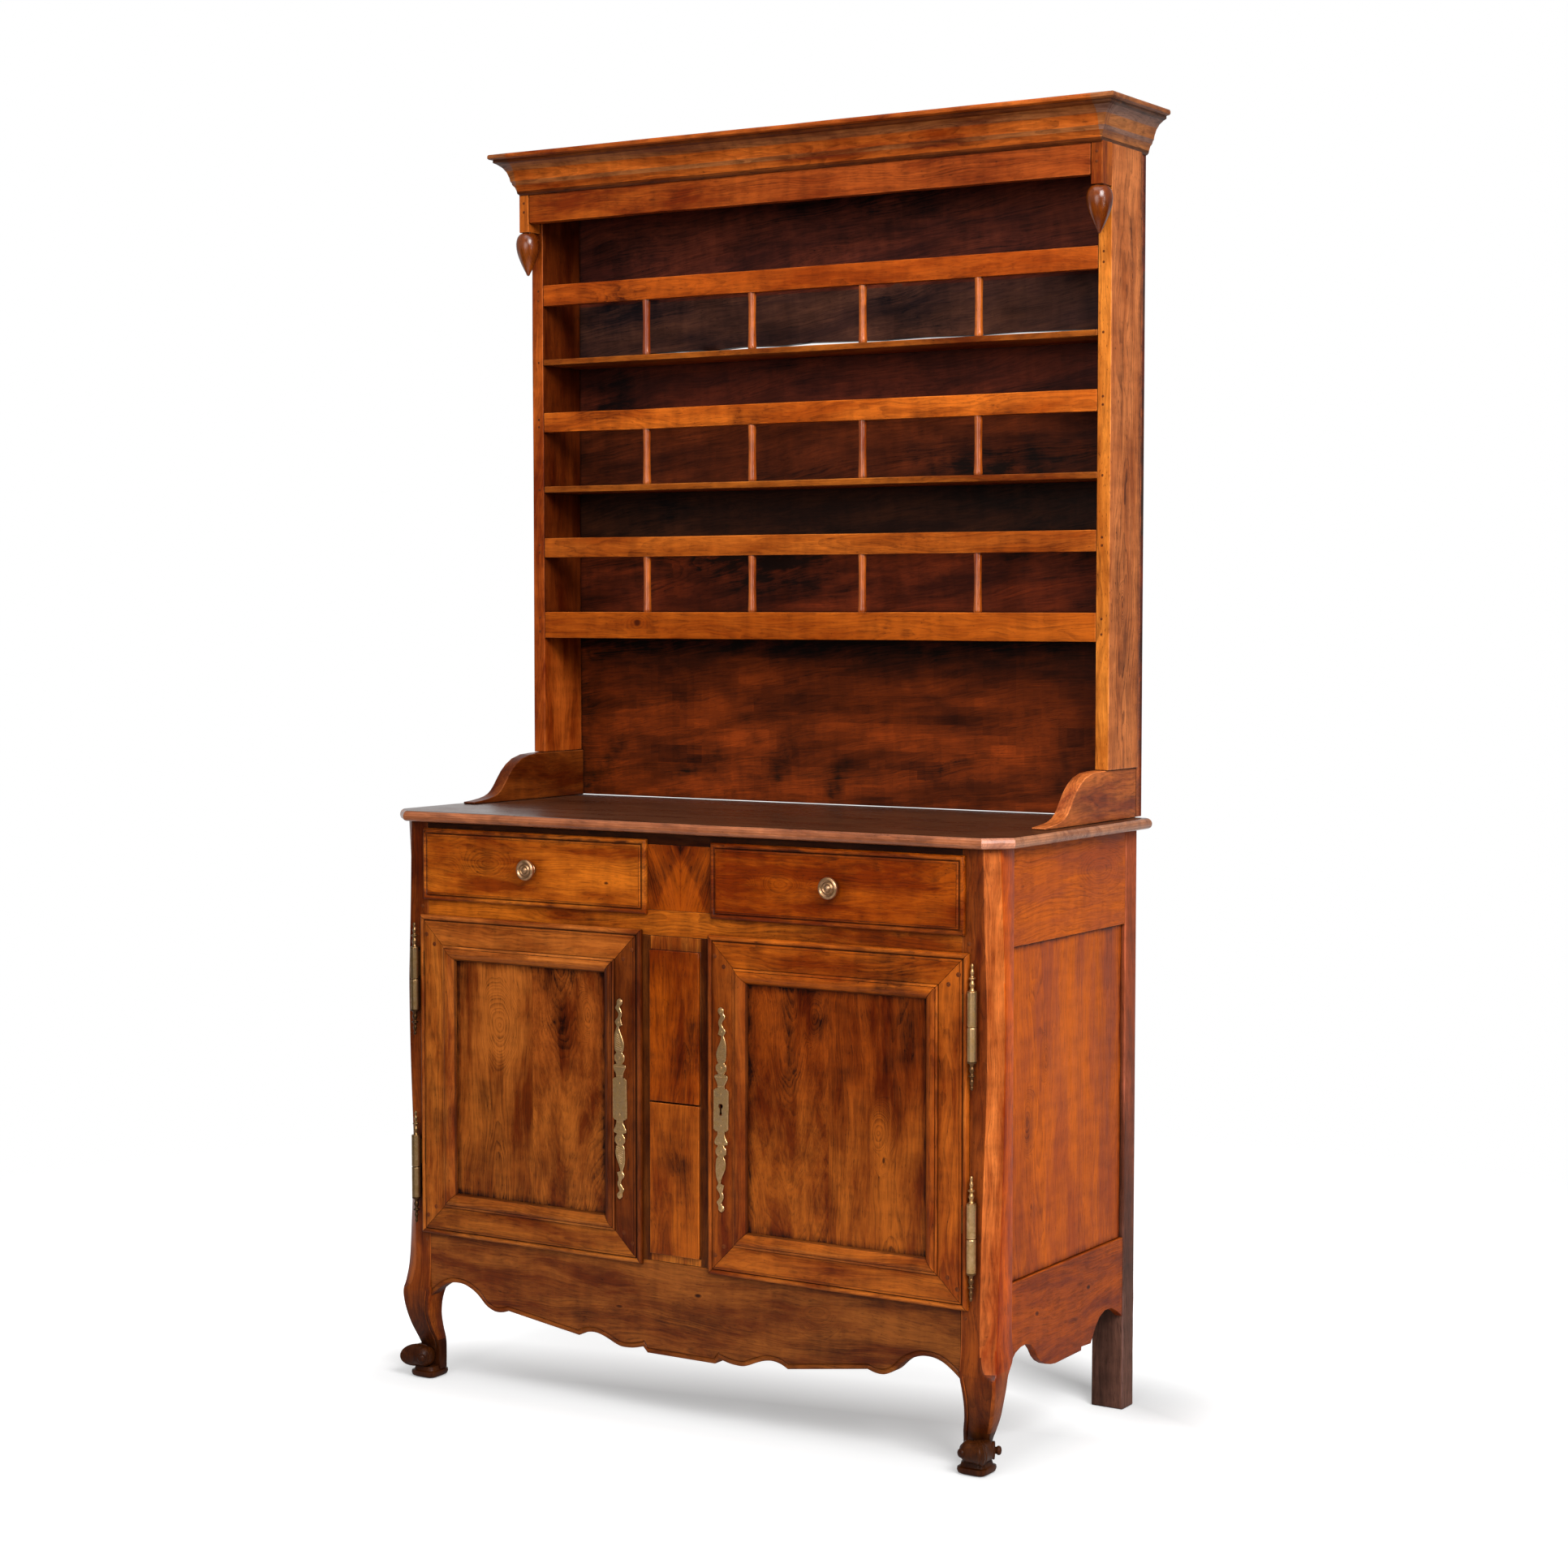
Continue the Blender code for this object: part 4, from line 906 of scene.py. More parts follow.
def rub(shape, low, high, crests):
    """Mark as worn the faces of a moulding that lie this far in from the lip: (from, to, amount)."""
    worn = shape.faces.layers.float.get("worn") or shape.faces.layers.float.new("worn")
    for face in shape.faces:
        inset = inset_from(face.calc_center_median(), low, high)
        for start, end, amount in crests:
            if start <= inset < end and face.normal.y < 0.3:
                face[worn] = amount


def quirked(low, high, quirks, tone, dark):
    """A rule for tint: one tone, darker in the quirks that lie (from, to) in from the lip."""

    def rule(at, way):
        inset = inset_from(at, low, high)
        lined = way.y < 0.5 and any(first < inset < last for first, last in quirks)
        return tuple((dark if lined else 1.0) * c for c in tone)

    return rule


print("moulding helpers ready")

# %% Drawer fronts
SIDES = ((-1, "left"), (1, "right"))
# inset from the lip, height over the frame's face
DRAWER_ROWS = millimetres([
    (0, 0.3), (0, 3.6), (0.9, 5.7), (2.8, 7.2), (5, 7.6), (7, 7), (8.2, 5.6), (8.8, 5.2), (9.4, 5.4), (9.8, 6.9),
    (12.6, 7.4), (13.2, 8.8),
])
DRAWER_QUIRKS = millimetres([(7, 9.8), (12.6, 13.2)])
drawer_tones = {"left": (1.42, 1.26, 0.7), "right": (1.08, 0.76, 0.16)}
drawer_knots = {
    "left": [((-0.383, FRONT, 0.901), 0.016, 0.35), ((-0.139, FRONT, 0.879), 0.004, 0.9)],
    "right": [((0.197, FRONT, 0.892), 0.012, 0.1)],
}
drawer_stains = {
    "left": [(-0.40, 0.90, 0.05, 0.03, 0.25), (-0.29, 0.885, 0.03, 0.03, 0.25)],
    "right": [(0.31, 0.893, 0.025, 0.022, 0.5), (0.22, 0.88, 0.03, 0.015, 0.3), (0.19, 0.896, 0.03, 0.01, -0.8)],
}
for side, tail in SIDES:
    node = "drawer_front_" + tail
    low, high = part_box(node)
    lip_low, lip_high = (low[0], low[2]), (high[0], high[2])
    rings = []
    for inset, proud in [(0.0095, -0.014), (0.0095, -0.3 * MM), *DRAWER_ROWS]:
        x0, x1, z0, z1 = low[0] + inset, high[0] - inset, low[2] + inset, high[2] - inset
        rings.append([(x, FRONT - proud, z) for x, z in ((x0, z0), (x1, z0), (x1, z1), (x0, z1))])
    shape = loft(rings)
    rub(shape, lip_low, lip_high, [(0.0028, 0.007, 0.8), (0.0098, 0.0126, 0.6)])
    slice_up(shape, X=0.02, Z=0.02)
    stain(shape, "XZ", drawer_stains[tail])
    edges = [(low[0], 0.89, 0.012, 0.1, 0.35), (high[0], 0.89, 0.012, 0.1, 0.35)]
    edges += [(side * 0.29, low[2], 0.4, 0.012, 0.3), (side * 0.29, high[2], 0.4, 0.014, 0.45)]
    stain(shape, "XZ", edges)
    tint(shape, quirked(lip_low, lip_high, DRAWER_QUIRKS, drawer_tones[tail], 0.5))
    look = knotted(
        shape, "waxed cherry, drawer " + tail, node, "X", "Z", drawer_knots[tail], *CHERRY,
        ring=4 * MM, heart=(0.05, 0.03, 0.05),
    )
    settle(shape, node + "_worn", look, node, sharp=50)
print("drawer fronts", len(SIDES))

# %% Drawer divider
BOOK_SEAM, V_TOP = 0.002, 0.936
shape = board("drawer_divider")
soften(shape, 0.6 * MM)
cut_at(shape, "X", BOOK_SEAM)
slice_up(shape, X=0.006, Z=0.006)
lay_grain(shape, "drawer_divider", "Z", "X", heart=(0.02, 0.03, 0.05), seam=BOOK_SEAM, tilt=0.42)
layer = shape.verts.layers.float.new("stain")
for vert in shape.verts:
    inside = (V_TOP - vert.co.z) * 0.55 - abs(vert.co.x - BOOK_SEAM)
    vert[layer] = 0.32 - 1.1 * clamp(inside / 0.010)
stain(shape, "XZ", [(BOOK_SEAM, 0.89, 0.0012, 0.1, 0.8), (0.004, 0.90, 0.003, 0.003, 0.7)])
tint(shape, (0.86, 0.55, 0.12))
settle(shape, "drawer_divider_worn", waxed, "drawer_divider")

# %% [markdown]
# ## Doors
#
# Each door is four moulded members mitred and pegged round a floating panel. A member is its own section
# swept along and drawn back at both mitres, so that a thin dark line shows there as it does between two
# pieces of wood. The panels are the show wood: two boards each, flamed near the top where a branch left
# the trunk, with an eye where it was cut across. Painted maps could do this; soft ellipses written on the
# panel's points, broken up along the grain by the shader, keep the flames attached to the wood.

# %% Section of a door frame
# inset from the lip, height over the frame's face; beads, quirks and fillets run with the grain
FRAME_ROWS = millimetres([
    (0, 0.3), (0, 3.4), (0.8, 5.8), (2.4, 7.3), (4.6, 7.8), (6.8, 7.3), (8.4, 5.9), (9.1, 4.7), (9.9, 4.9), (10.3, 6.8),
    (13.6, 7.2), (14.3, 8.2), (26, 8.2), (38, 8.2), (49.6, 8.2), (50.4, 8.0), (50.8, 10), (54.2, 10.6), (54.8, 10.3),
    (55.3, 11.5), (58, 12.4), (61.5, 12.6), (65.5, 11.4), (69.5, 8.8), (72.4, 5.8), (74.2, 3.9), (75, 2.4),
    (75, 1.3), (69, 1.3), (69, -7.3), (75, -7.3), (75, -14),
])
QUIRKS = millimetres([(8.4, 10.3), (13.6, 14.3), (49.6, 50.8), (54.2, 55.3), (72.4, 75)])
DOOR_LOW, DOOR_HIGH, DOOR_FAR, DOOR_NEAR = 0.254, 0.803, 0.532, {"left": 0.073, "right": 0.057}


def mitred(place, length, lip, trim, gap=0.5 * MM):
    """A moulded member: its section swept along, ends drawn back from the mitre so that a thin line shows."""
    section = [*FRAME_ROWS, (lip, -0.014), (lip, 0.3 * MM)]
    rings = []
    for n in range(13):
        ring = []
        for inset, proud in section:
            first, last = (max(inset, reach if proud < MM else 0) + gap for reach in trim)
            ring.append(place(inset, first + (length - last - first) * n / 12, FRONT - proud))
        rings.append(ring)
    return loft(rings)


print("rows in the section", len(FRAME_ROWS))

# %% Door frames
HINGE_LIP, LIP = 15.5 * MM, 9.5 * MM
# tone of each member on the left and the right door
door_tones = {
    "hinge_stile": ((1.07, 1.06, 1.25), (1.05, 0.86, 0.7)), "closing_stile": ((0.4, 0.30, 0.28), (0.7, 0.55, 0.45)),
    "top_rail": ((1.08, 1.04, 1.4), (1.1, 0.87, 0.42)), "bottom_rail": ((0.85, 0.85, 1.0), (0.95, 0.85, 0.8)),
}


def scatter(seed, count, *spans):
    """Seeded rows of numbers: a pair is drawn evenly between its ends, a plain number stays."""
    lots = random.Random(seed)
    return [tuple(lots.uniform(*s) if isinstance(s, tuple) else s for s in spans) for _ in range(count)]


for side, tail in SIDES:
    near = DOOR_NEAR[tail]
    tall, wide = DOOR_HIGH - DOOR_LOW, DOOR_FAR - near
    ends = sorted((side * near, side * DOOR_FAR))
    lip_low, lip_high = (ends[0], DOOR_LOW), (ends[1], DOOR_HIGH)
    members = {
        "hinge_stile": ("Z", "X", HINGE_LIP, (0, 0), tall, lambda a, b, y: (side * (DOOR_FAR - a), y, DOOR_LOW + b)),
        "closing_stile": ("Z", "X", LIP, (0, 0), tall, lambda a, b, y: (side * (near + a), y, DOOR_LOW + b)),
        "top_rail": ("X", "Z", LIP, (0, HINGE_LIP), wide, lambda a, b, y: (side * (near + b), y, DOOR_HIGH - a)),
        "bottom_rail": ("X", "Z", LIP, (0, HINGE_LIP), wide, lambda a, b, y: (side * (near + b), y, DOOR_LOW + a)),
    }
    for kind, (along, across, lip, trim, length, place) in members.items():
        node = f"door_{kind}_{tail}"
        shape = mitred(place, length, lip, trim)
        if node == "door_closing_stile_right":
            low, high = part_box("lock_bolt")
            room = plank((near - MM, high[0] + MM), (low[1] - MM, high[1] + MM), (low[2] - MM, high[2] + MM))
            key = plank((0.0825, 0.0885), (FRONT - 0.02, low[1]), (0.516, 0.532))
            shape = fuse(shape, [room, key], "DIFFERENCE")
        rub(shape, lip_low, lip_high, [(0.0024, 0.0068, 0.7), (0.0508, 0.0542, 0.8), (0.058, 0.0615, 0.6)])
        spread = (side * near, side * DOOR_FAR), (DOOR_LOW, DOOR_HIGH)
        stain(shape, "XZ", scatter(node, 16, *spread, 0.05, 0.05, (-0.3, 0.35)))
        lay_grain(shape, node, along, across)
        tint(shape, quirked(lip_low, lip_high, QUIRKS, door_tones[kind][side > 0], 0.42))
        settle(shape, node + "_moulded", waxed, node, sharp=35, weighted=False)
print("door frame members", len(SIDES) * len(members))

# %% Door panels
# each panel is two boards: outer edge, seam edge, heart of the tree (off, deep, lean), knots and flames
PANELS = {
    "left": [
        (-1.0, -0.297, (0.01, 0.05, 0.02), [((-0.3686, FRONT, 0.6244), 0.018, 0.1)], [
            (-0.372, 0.665, 0.042, 0.06, -0.9), (-0.365, 0.60, 0.045, 0.03, -0.8), (-0.445, 0.68, 0.012, 0.05, 0.4),
            (-0.425, 0.70, 0.02, 0.02, 0.3), (-0.415, 0.62, 0.012, 0.05, 0.2), (-0.40, 0.50, 0.012, 0.03, 0.35),
            (-0.38, 0.40, 0.2, 0.10, 0.14), (-0.44, 0.52, 0.01, 0.12, -0.3),
        ]),
        (-0.297, 1.0, (-0.012, 0.06, -0.24), [((-0.1816, FRONT, 0.655), 0.010, 0.1)], [
            (-0.262, 0.712, 0.026, 0.022, 0.62), (-0.245, 0.67, 0.013, 0.04, 0.5), (-0.234, 0.64, 0.012, 0.045, 0.55),
            (-0.228, 0.60, 0.012, 0.02, 0.4), (-0.215, 0.715, 0.008, 0.03, 0.4), (-0.185, 0.64, 0.018, 0.06, -0.8),
            (-0.277, 0.63, 0.010, 0.05, -0.5), (-0.222, 0.50, 0.014, 0.05, -0.5), (-0.16, 0.71, 0.012, 0.02, 0.3),
            (-0.24, 0.37, 0.06, 0.06, 0.18), (-0.165, 0.40, 0.02, 0.08, 0.15),
        ]),
    ],
    "right": [
        (-1.0, 0.2816, (0.006, 0.06, -0.24), [((0.262, FRONT, 0.685), 0.010, 0.2)], [
            (0.202, 0.70, 0.010, 0.04, 0.55), (0.209, 0.64, 0.010, 0.05, 0.5), (0.214, 0.59, 0.014, 0.02, 0.4),
            (0.266, 0.678, 0.016, 0.022, 0.7), (0.236, 0.715, 0.02, 0.012, 0.45), (0.165, 0.66, 0.016, 0.05, -0.5),
            (0.236, 0.645, 0.012, 0.04, -0.3), (0.19, 0.42, 0.03, 0.05, -0.4), (0.14, 0.60, 0.01, 0.15, 0.3),
            (0.24, 0.50, 0.03, 0.05, 0.14),
        ]),
        (0.2816, 1.0, (0.03, 0.05, 0.03), [((0.382, FRONT, 0.4707), 0.005, 0.85), ((0.371, FRONT, 0.512), 0.012, 0)], [
            (0.425, 0.70, 0.016, 0.03, 0.6), (0.40, 0.655, 0.014, 0.035, 0.5), (0.432, 0.64, 0.016, 0.03, 0.45),
            (0.39, 0.615, 0.010, 0.02, 0.4), (0.372, 0.525, 0.014, 0.022, -1.0), (0.38, 0.45, 0.008, 0.06, -0.6),
            (0.355, 0.62, 0.012, 0.04, -0.4), (0.31, 0.60, 0.02, 0.05, 0.25), (0.325, 0.70, 0.03, 0.02, 0.2),
            (0.44, 0.45, 0.012, 0.1, 0.15), (0.30, 0.40, 0.015, 0.06, -0.3),
        ]),
    ],
}
PANEL_SIDES, PANEL_ENDS = {"left": (-0.457, -0.148), "right": (0.132, 0.457)}, (0.329, 0.728)
# tone below and above, for each board
PANEL_TONES = {
    "left": [((0.74, 0.69, 0.64), (0.85, 0.82, 0.9)), ((0.74, 0.69, 0.64), (0.74, 0.62, 0.6))],
    "right": [((0.78, 0.68, 0.47), (0.56, 0.36, 0.15))] * 2,
}
JOINT = 0.15 * MM
for tail, halves in PANELS.items():
    node = "door_panel_" + tail
    low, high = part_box(node)
    sides = PANEL_SIDES[tail]
    for number, (first, last, heart, places, flames) in enumerate(halves, 1):
        x = (max(first + JOINT, low[0]), min(last - JOINT, high[0]))
        shape = plank(x, (low[1], high[1]), (low[2], high[2]))
        slice_up(shape, X=0.008, Z=0.009)
        for axis, edges in (("X", sides), ("Z", PANEL_ENDS)):
            cut_at(shape, axis, edges[0] + 2.5 * MM, edges[1] - 2.5 * MM)
        stain(shape, "XZ", [(edge, 0.53, 0.004, 0.4, 0.8) for edge in sides])
        stain(shape, "XZ", [(sides[0], edge, 0.6, 0.004, 0.8) for edge in PANEL_ENDS])
        stain(shape, "XZ", flames)
        lower, upper = (Vector(tone) for tone in PANEL_TONES[tail][number - 1])
        tint(shape, lambda at, way: lower.lerp(upper, clamp((at.z - 0.48) / 0.12)))
        look = knotted(
            shape, f"waxed flame cherry, {tail} panel board {number}", f"{node}_{number}", "Z", "X", places,
            "BE6822", "722E08", "220902", ring=4 * MM, figure=0.36, heart=heart, rough=(0.28, 0.42),
        )
        settle(shape, f"{node}_board_{number}", look, node if number == 1 else None, f"{tail}_door")
print("door panels", len(PANELS))

# %% [markdown]
# ## Centre stile
#
# Between the doors stands a stile with two applied boards, one above the other. The boards stop short
# and leave bare, rough ends of the stile, which are paler and drier than the waxed wood.

# %% Centre stile
BOARD_SEAM = 0.5247


def stile_tone(at, way):
    """Pale bare ends, the stile behind its boards dark with painted shade in the gaps beside the doors, and a redder
    upper board.
    """
    ends = at.z > 0.7735 or at.z < 0.2735
    if ends and way.y < -0.5 and abs(at.x + 0.008) < 0.05:
        return (1.35, 1.45, 1.7)
    # the stile behind its applied boards: painted shade in the gaps beside the doors
    if at.y > FRONT - 0.001:
        return (0.30, 0.26, 0.25)
    return (0.85, 0.57, 0.1) if at.z > BOARD_SEAM else (0.9, 0.73, 0.47)


shape = board("centre_stile")
soften(shape, 1.5 * MM, least=0.03)
slice_up(shape, Z=0.02, X=0.012)
lay_grain(shape, "centre_stile", "Z", "X", heart=(0.015, 0.03, 0.06))
layer = shape.verts.layers.float_vector["grain"]
for vert in shape.verts:
    if vert.co.z < BOARD_SEAM and vert.co.y < FRONT - 0.0015:
        vert[layer] += Vector((1.7, 0.035, 0.01))
stain(shape, "XZ", [(-0.008, 0.78, 0.06, 0.006, 0.5), (0.0, 0.267, 0.05, 0.004, 0.6), (0.02, 0.62, 0.03, 0.04, 0.3)])
stain(shape, "XZ", [(-0.01, 0.44, 0.02, 0.03, 0.45), (0.012, 0.405, 0.02, 0.03, 0.4), (-0.03, 0.69, 0.03, 0.06, -0.5)])
stain(shape, "XZ", [(0.03, 0.655, 0.012, 0.02, 0.45), (0.0, 0.60, 0.014, 0.025, 0.4), (-0.02, 0.33, 0.03, 0.05, -0.4)])
tint(shape, stile_tone)
settle(shape, "centre_stile_worn", waxed, "centre_stile")

# %% [markdown]
# ## Front apron
#
# The apron is sawn to a scalloped line that mirrors about the middle tablet, and a scratch stock has
# cut a fine groove round it, which leaves a bead along the edge. Bump alone would vanish from the
# side, so the section of bead and groove is laid out from the edge upwards, once for every step along it.

# %% Scalloped edge with its groove
outline = sorted({(round(v.co.x, 5), round(v.co.z, 5)) for v in frame["nodes"]["front_apron"].data.vertices})
top_edge = max(z for _, z in outline)
lower = [point for point in outline if point[1] < top_edge - 0.01]
kept = [k for k, (x, z) in enumerate(lower) if any(abs(abs(x) - c * MM) < 1e-4 for c in (66, 75, 205, 352))]
edge = flowing(lower, 5, kept)
# distance in from the edge, depth behind the face
SCRATCH = millimetres([
    (0, 24), (0, 1.8), (0.5, 0.6), (1.6, 0.1), (3.6, 0), (5.8, 0.3), (6.6, 1.3), (7.5, 1.8), (8.4, 1.3), (9.2, 0.2),
    (10.5, 0),
])
columns = []
for k, point in enumerate(edge):
    run = edge[min(k + 1, len(edge) - 1)] - edge[max(k - 1, 0)]
    steep = math.hypot(run.x, run.y) / run.x
    column = [Vector((point.x, FRONT + deep, point.y + inset * steep)) for inset, deep in SCRATCH]
    field = column[-1].z
    column += [Vector((point.x, FRONT, field + (top_edge - MM - field) * n / 6)) for n in range(1, 7)]
    columns.append(column + [Vector((point.x, FRONT + MM, top_edge)), Vector((point.x, FRONT + 0.024, top_edge))])
shape = loft(columns)
print("apron columns", len(columns))

# %% Front apron
spots = [(-0.34, 0.24, 0.12, 0.012, 0.35), (0.02, 0.18, 0.09, 0.03, 0.35), (0.30, 0.25, 0.15, 0.012, 0.45)]
spots += [(0.30, 0.165, 0.06, 0.02, 0.35), (-0.20, 0.16, 0.08, 0.02, 0.3), (0.45, 0.19, 0.03, 0.012, 0.3)]
spots += scatter("apron", 40, (-0.5, 0.5), (0.15, 0.25), (0.01, 0.05), (0.005, 0.012), (-0.5, 0.6))
spots += [(0.12, 0.21, 0.08, 0.02, -0.4), (0.40, 0.215, 0.06, 0.02, -0.4)]
spots += [(-0.1, 0.235, 0.08, 0.012, -0.3), (-0.36, 0.225, 0.08, 0.015, -0.5)]
stain(shape, "XZ", spots)
tint(shape, lambda at, way: [level * (1 - 0.22 * at.x - 0.2 * max(0, at.x)) for level in (0.65, 0.67, 1.05)])
look = knotted(
    shape, "waxed cherry, apron", "front_apron", "X", "Z",
    [((0.034, FRONT, 0.220), 0.006, 0.95), ((-0.122, FRONT, 0.174), 0.006, 0.8), ((0.26, FRONT, 0.213), 0.012, 0.2)],
    *CHERRY, figure=0.24,
)
settle(shape, "front_apron_worn", look, "front_apron", sharp=35)
print("apron stains", len(spots))

# %% [markdown]
# ## Front legs
#
# Post, short curved leg, scroll and pad are cut from one length. The post's outer corner is canted in a
# long hollow sweep that ends in a lamb's tongue. The foot is a roll carved round the corner: it comes
# in along the front, turns at a ridge and goes back along the side, with a small eye at each end.

# %% Section of a front leg
# height, inner side, outer side, front, back (both from the frame face), cant across, cant along
LEG_ROWS = millimetres([
    (961.7, 518, 574, 0, 63, 20.5, 18), (833, 518, 574, 0, 63, 17, 28), (735, 518, 574, 0, 63, 13.5, 35),
    (675, 518, 574, 0, 63, 12, 37), (551, 518, 574, 0, 63, 14, 34), (426, 518, 574, 0, 63, 19, 27),
    (338, 518, 574, 0, 63, 21.5, 21), (251, 518, 574, 0, 63, 23, 15), (215, 518, 574, 0, 63, 23.5, 12),
    (190, 518, 575, -1, 63, 23.5, 10.5), (172, 518, 577, -3, 60, 23, 9.5), (160, 518, 578.5, -4.5, 49, 19, 8),
    (150, 518, 579, -5, 41, 5, 4), (132, 521.5, 578.3, -4.3, 37, 4, 4), (109, 523, 574.5, -0.5, 35.5, 4, 4),
    (86, 520.5, 569, 6, 36.5, 4, 4), (64, 515, 561, 13.5, 37, 4, 4), (46, 513.5, 555, 17, 36.5, 4, 4),
    (13, 513.5, 553, 18, 36, 4, 4),
])
GROOVE = millimetres([(5.8, 0.1), (6.6, 1.3), (7.5, 1.8), (8.4, 1.3), (9.2, 0.1)])


def leg_ring(row, side):
    """The section of a leg at one height; low down, the apron's groove runs on along the inner edge."""
    height, inner, outer, front, back, across, along = row
    cut = min(clamp((0.156 - height) / 0.008), clamp((height - 0.046) / 0.01))
    near, far = FRONT + front, FRONT + back
    corners = [(inner, near), (outer - across, near), (outer, near + along), (outer, far), (inner, far)]
    corners = [Vector((side * x, y, height)) for x, y in corners]
    ring = []
    for k, here in enumerate(corners):
        before, after = corners[k - 1] - here, corners[(k + 1) % 5] - here
        soft = min(2.0 * MM, 0.3 * before.length, 0.3 * after.length)
        start, end = here + soft * before.normalized(), here + soft * after.normalized()
        ring += [start, (start + 2 * here + end) / 4, end]
        if k == 0:
            ring += [Vector((side * (inner + wide), near + cut * deep, height)) for wide, deep in GROOVE]
    return ring


print("points in a leg's section", len(leg_ring(LEG_ROWS[0], 1)))

# %% Scroll and pad
ROLL, ARM = Vector((0.552, FRONT - 0.001, 0.037)), 0.032
# share of the way from the corner ridge to the end of an arm, radius in metres
ROLL_ROWS = [
    (0, 0.0195), (0.04, 0.0192), (0.09, 0.0178), (0.13, 0.0176), (0.17, 0.0185), (0.22, 0.0183), (0.28, 0.0172),
    (0.5, 0.0170), (0.68, 0.0172), (0.78, 0.0164), (0.88, 0.013), (0.96, 0.008), (1, 0.0005),
]
# radius, height from the middle of the cup
EYE = millimetres([
    (0, -9), (11, -9), (13.2, -5), (14, -1), (13.6, 0.6), (12.4, 1), (11, 0.2), (9.4, -1.8), (7, -2.4), (5.6, -1.4),
    (5.4, 3), (6.8, 5), (7.2, 7), (6.4, 9.4), (4, 11), (0, 11.6),
])
PAD_ROWS = millimetres([(20, 0), (24.5, 2.5), (26, 7), (25.5, 11), (22, 12.5), (21, 15), (20, 19)])


def scroll(shape, side):
    """Add a roll that turns the corner of the foot: one arm along the front, one along the side."""
    rings = []
    for arm, rows in (("front", ROLL_ROWS[:0:-1]), ("side", ROLL_ROWS)):
        for share, radius in rows:
            ring = []
            for k in range(32):
                out, up = radius * math.cos(math.tau * k / 32), radius * math.sin(math.tau * k / 32)
                slide = out * (1 - share) - ARM * share
                x, y = (slide, -out) if arm == "front" else (out, -slide)
                ring.append((side * (ROLL.x + x), ROLL.y + y, ROLL.z + up))
            rings.append(ring)
    skin(shape, rings)
    for x, y, way in ((0.531, -0.2465, (-0.42, -0.91, 0)), (0.5635, -0.212, (0.91, 0.42, 0))):
        facing = Vector((side * way[0], way[1], 0)).to_track_quat("Z", "Y").to_matrix().to_4x4()
        spin(shape, turned(EYE, 2), Matrix.Translation((side * x, y, ROLL.z)) @ facing, 28)


def squarish(part):
    """A sine or cosine swollen, so that a circle becomes a square with round corners."""
    return math.copysign(abs(part) ** 0.45, part)


def pad(shape, side):
    """Add a flat cushion under the scroll, squarish with round corners."""
    turns = [math.tau * k / 40 for k in range(40)]
    soft = [(squarish(math.cos(t)), squarish(math.sin(t))) for t in turns]
    rings = []
    for half, height in PAD_ROWS:
        rings.append([(side * (0.537 + half * u), FRONT + 0.018 + half * v, height) for u, v in soft])
    skin(shape, rings)


print("rows in a scroll", 2 * len(ROLL_ROWS) - 1)


# %% Front legs
def leg_tone(at, way):
    """Dark feet, brown fronts, and posts lit on the cant and the outer side."""
    shade = 0.30 + 0.70 * clamp((at.z - 0.055) / 0.14)
    if at.z >= 0.16 and abs(way.x) >= 0.3:
        lit = LIT_OUTER_SIDE_TONE if abs(at.x) > 0.5735 else (1.68, 1.6, 3.3) if at.x > 0 else (0.9, 0.75, 0.9)
    elif at.z > 0.062:
        lit = (1.5, 1.3, 1.8) if abs(way.x) > 0.5 else (0.6, 0.45, 0.46)
    else:
        lit = (0.5, 0.46, 0.62)
    return tuple(shade * c for c in lit)


for side, tail in SIDES:
    node = "leg_front_" + tail
    shape = bmesh.new()
    skin(shape, [leg_ring(tuple(row), side) for row in flowing(LEG_ROWS, 4)])
    scroll(shape, side)
    pad(shape, side)
    outward(shape)
    lay_grain(shape, node, "Z", "X")
    tint(shape, leg_tone)
    stain(shape, "XZ", [(side * 0.53, 0.30, 0.02, 0.05, 0.3), (side * 0.53, 0.10, 0.02, 0.03, 0.2)])
    settle(shape, node + "_carved", waxed, node, sharp=35, weighted=False)
print("front legs", len(SIDES))

# %% [markdown]
# ## Cornice and frieze
#
# The cornice is a hollow and two fillets worked with moulding planes, returned along both sides. Below
# it a plain frieze board hangs between two end blocks, and under each block a turned drop finishes the
# corner. The CAD holds blocks and drops in one solid with the frieze, so here three pieces stand for it.

# %% Cornice
CORNICE_SIDE = 0.5735
shape = board("cornice")
slice_up(shape, Z=0.0035, X=0.04, Y=0.04)
lay_grain(shape, "cornice", "X", "Z")
layer = shape.verts.layers.float_vector["grain"]
for vert in shape.verts:
    if abs(vert.co.x) > CORNICE_SIDE and vert.co.y > 0.106 - (abs(vert.co.x) - 0.573) + 1e-4:
        vert[layer] = Vector((vert.co.y + 3, vert[layer].y, abs(vert.co.x) + 0.03))
# Painted light and shade, band by band: a painted grey sheen on the hollows that look up, painted shade in the quirks
# and under the fillet, and lighter bands where the moulding stands out to the light: (top, tone)
PAINTED_LIGHT_BANDS = [
    (2.0655, (0.38, 0.32, 0.5)), (2.0775, (1.3, 1.06, 1.3)), (2.086, (0.95, 1.15, 3.4)), (2.1035, (1.4, 1.16, 1.4)),
    (2.1135, (0.95, 1.15, 3.4)), (2.1205, (0.42, 0.36, 0.6)), (3, (1.3, 1.1, 1.5)),
]


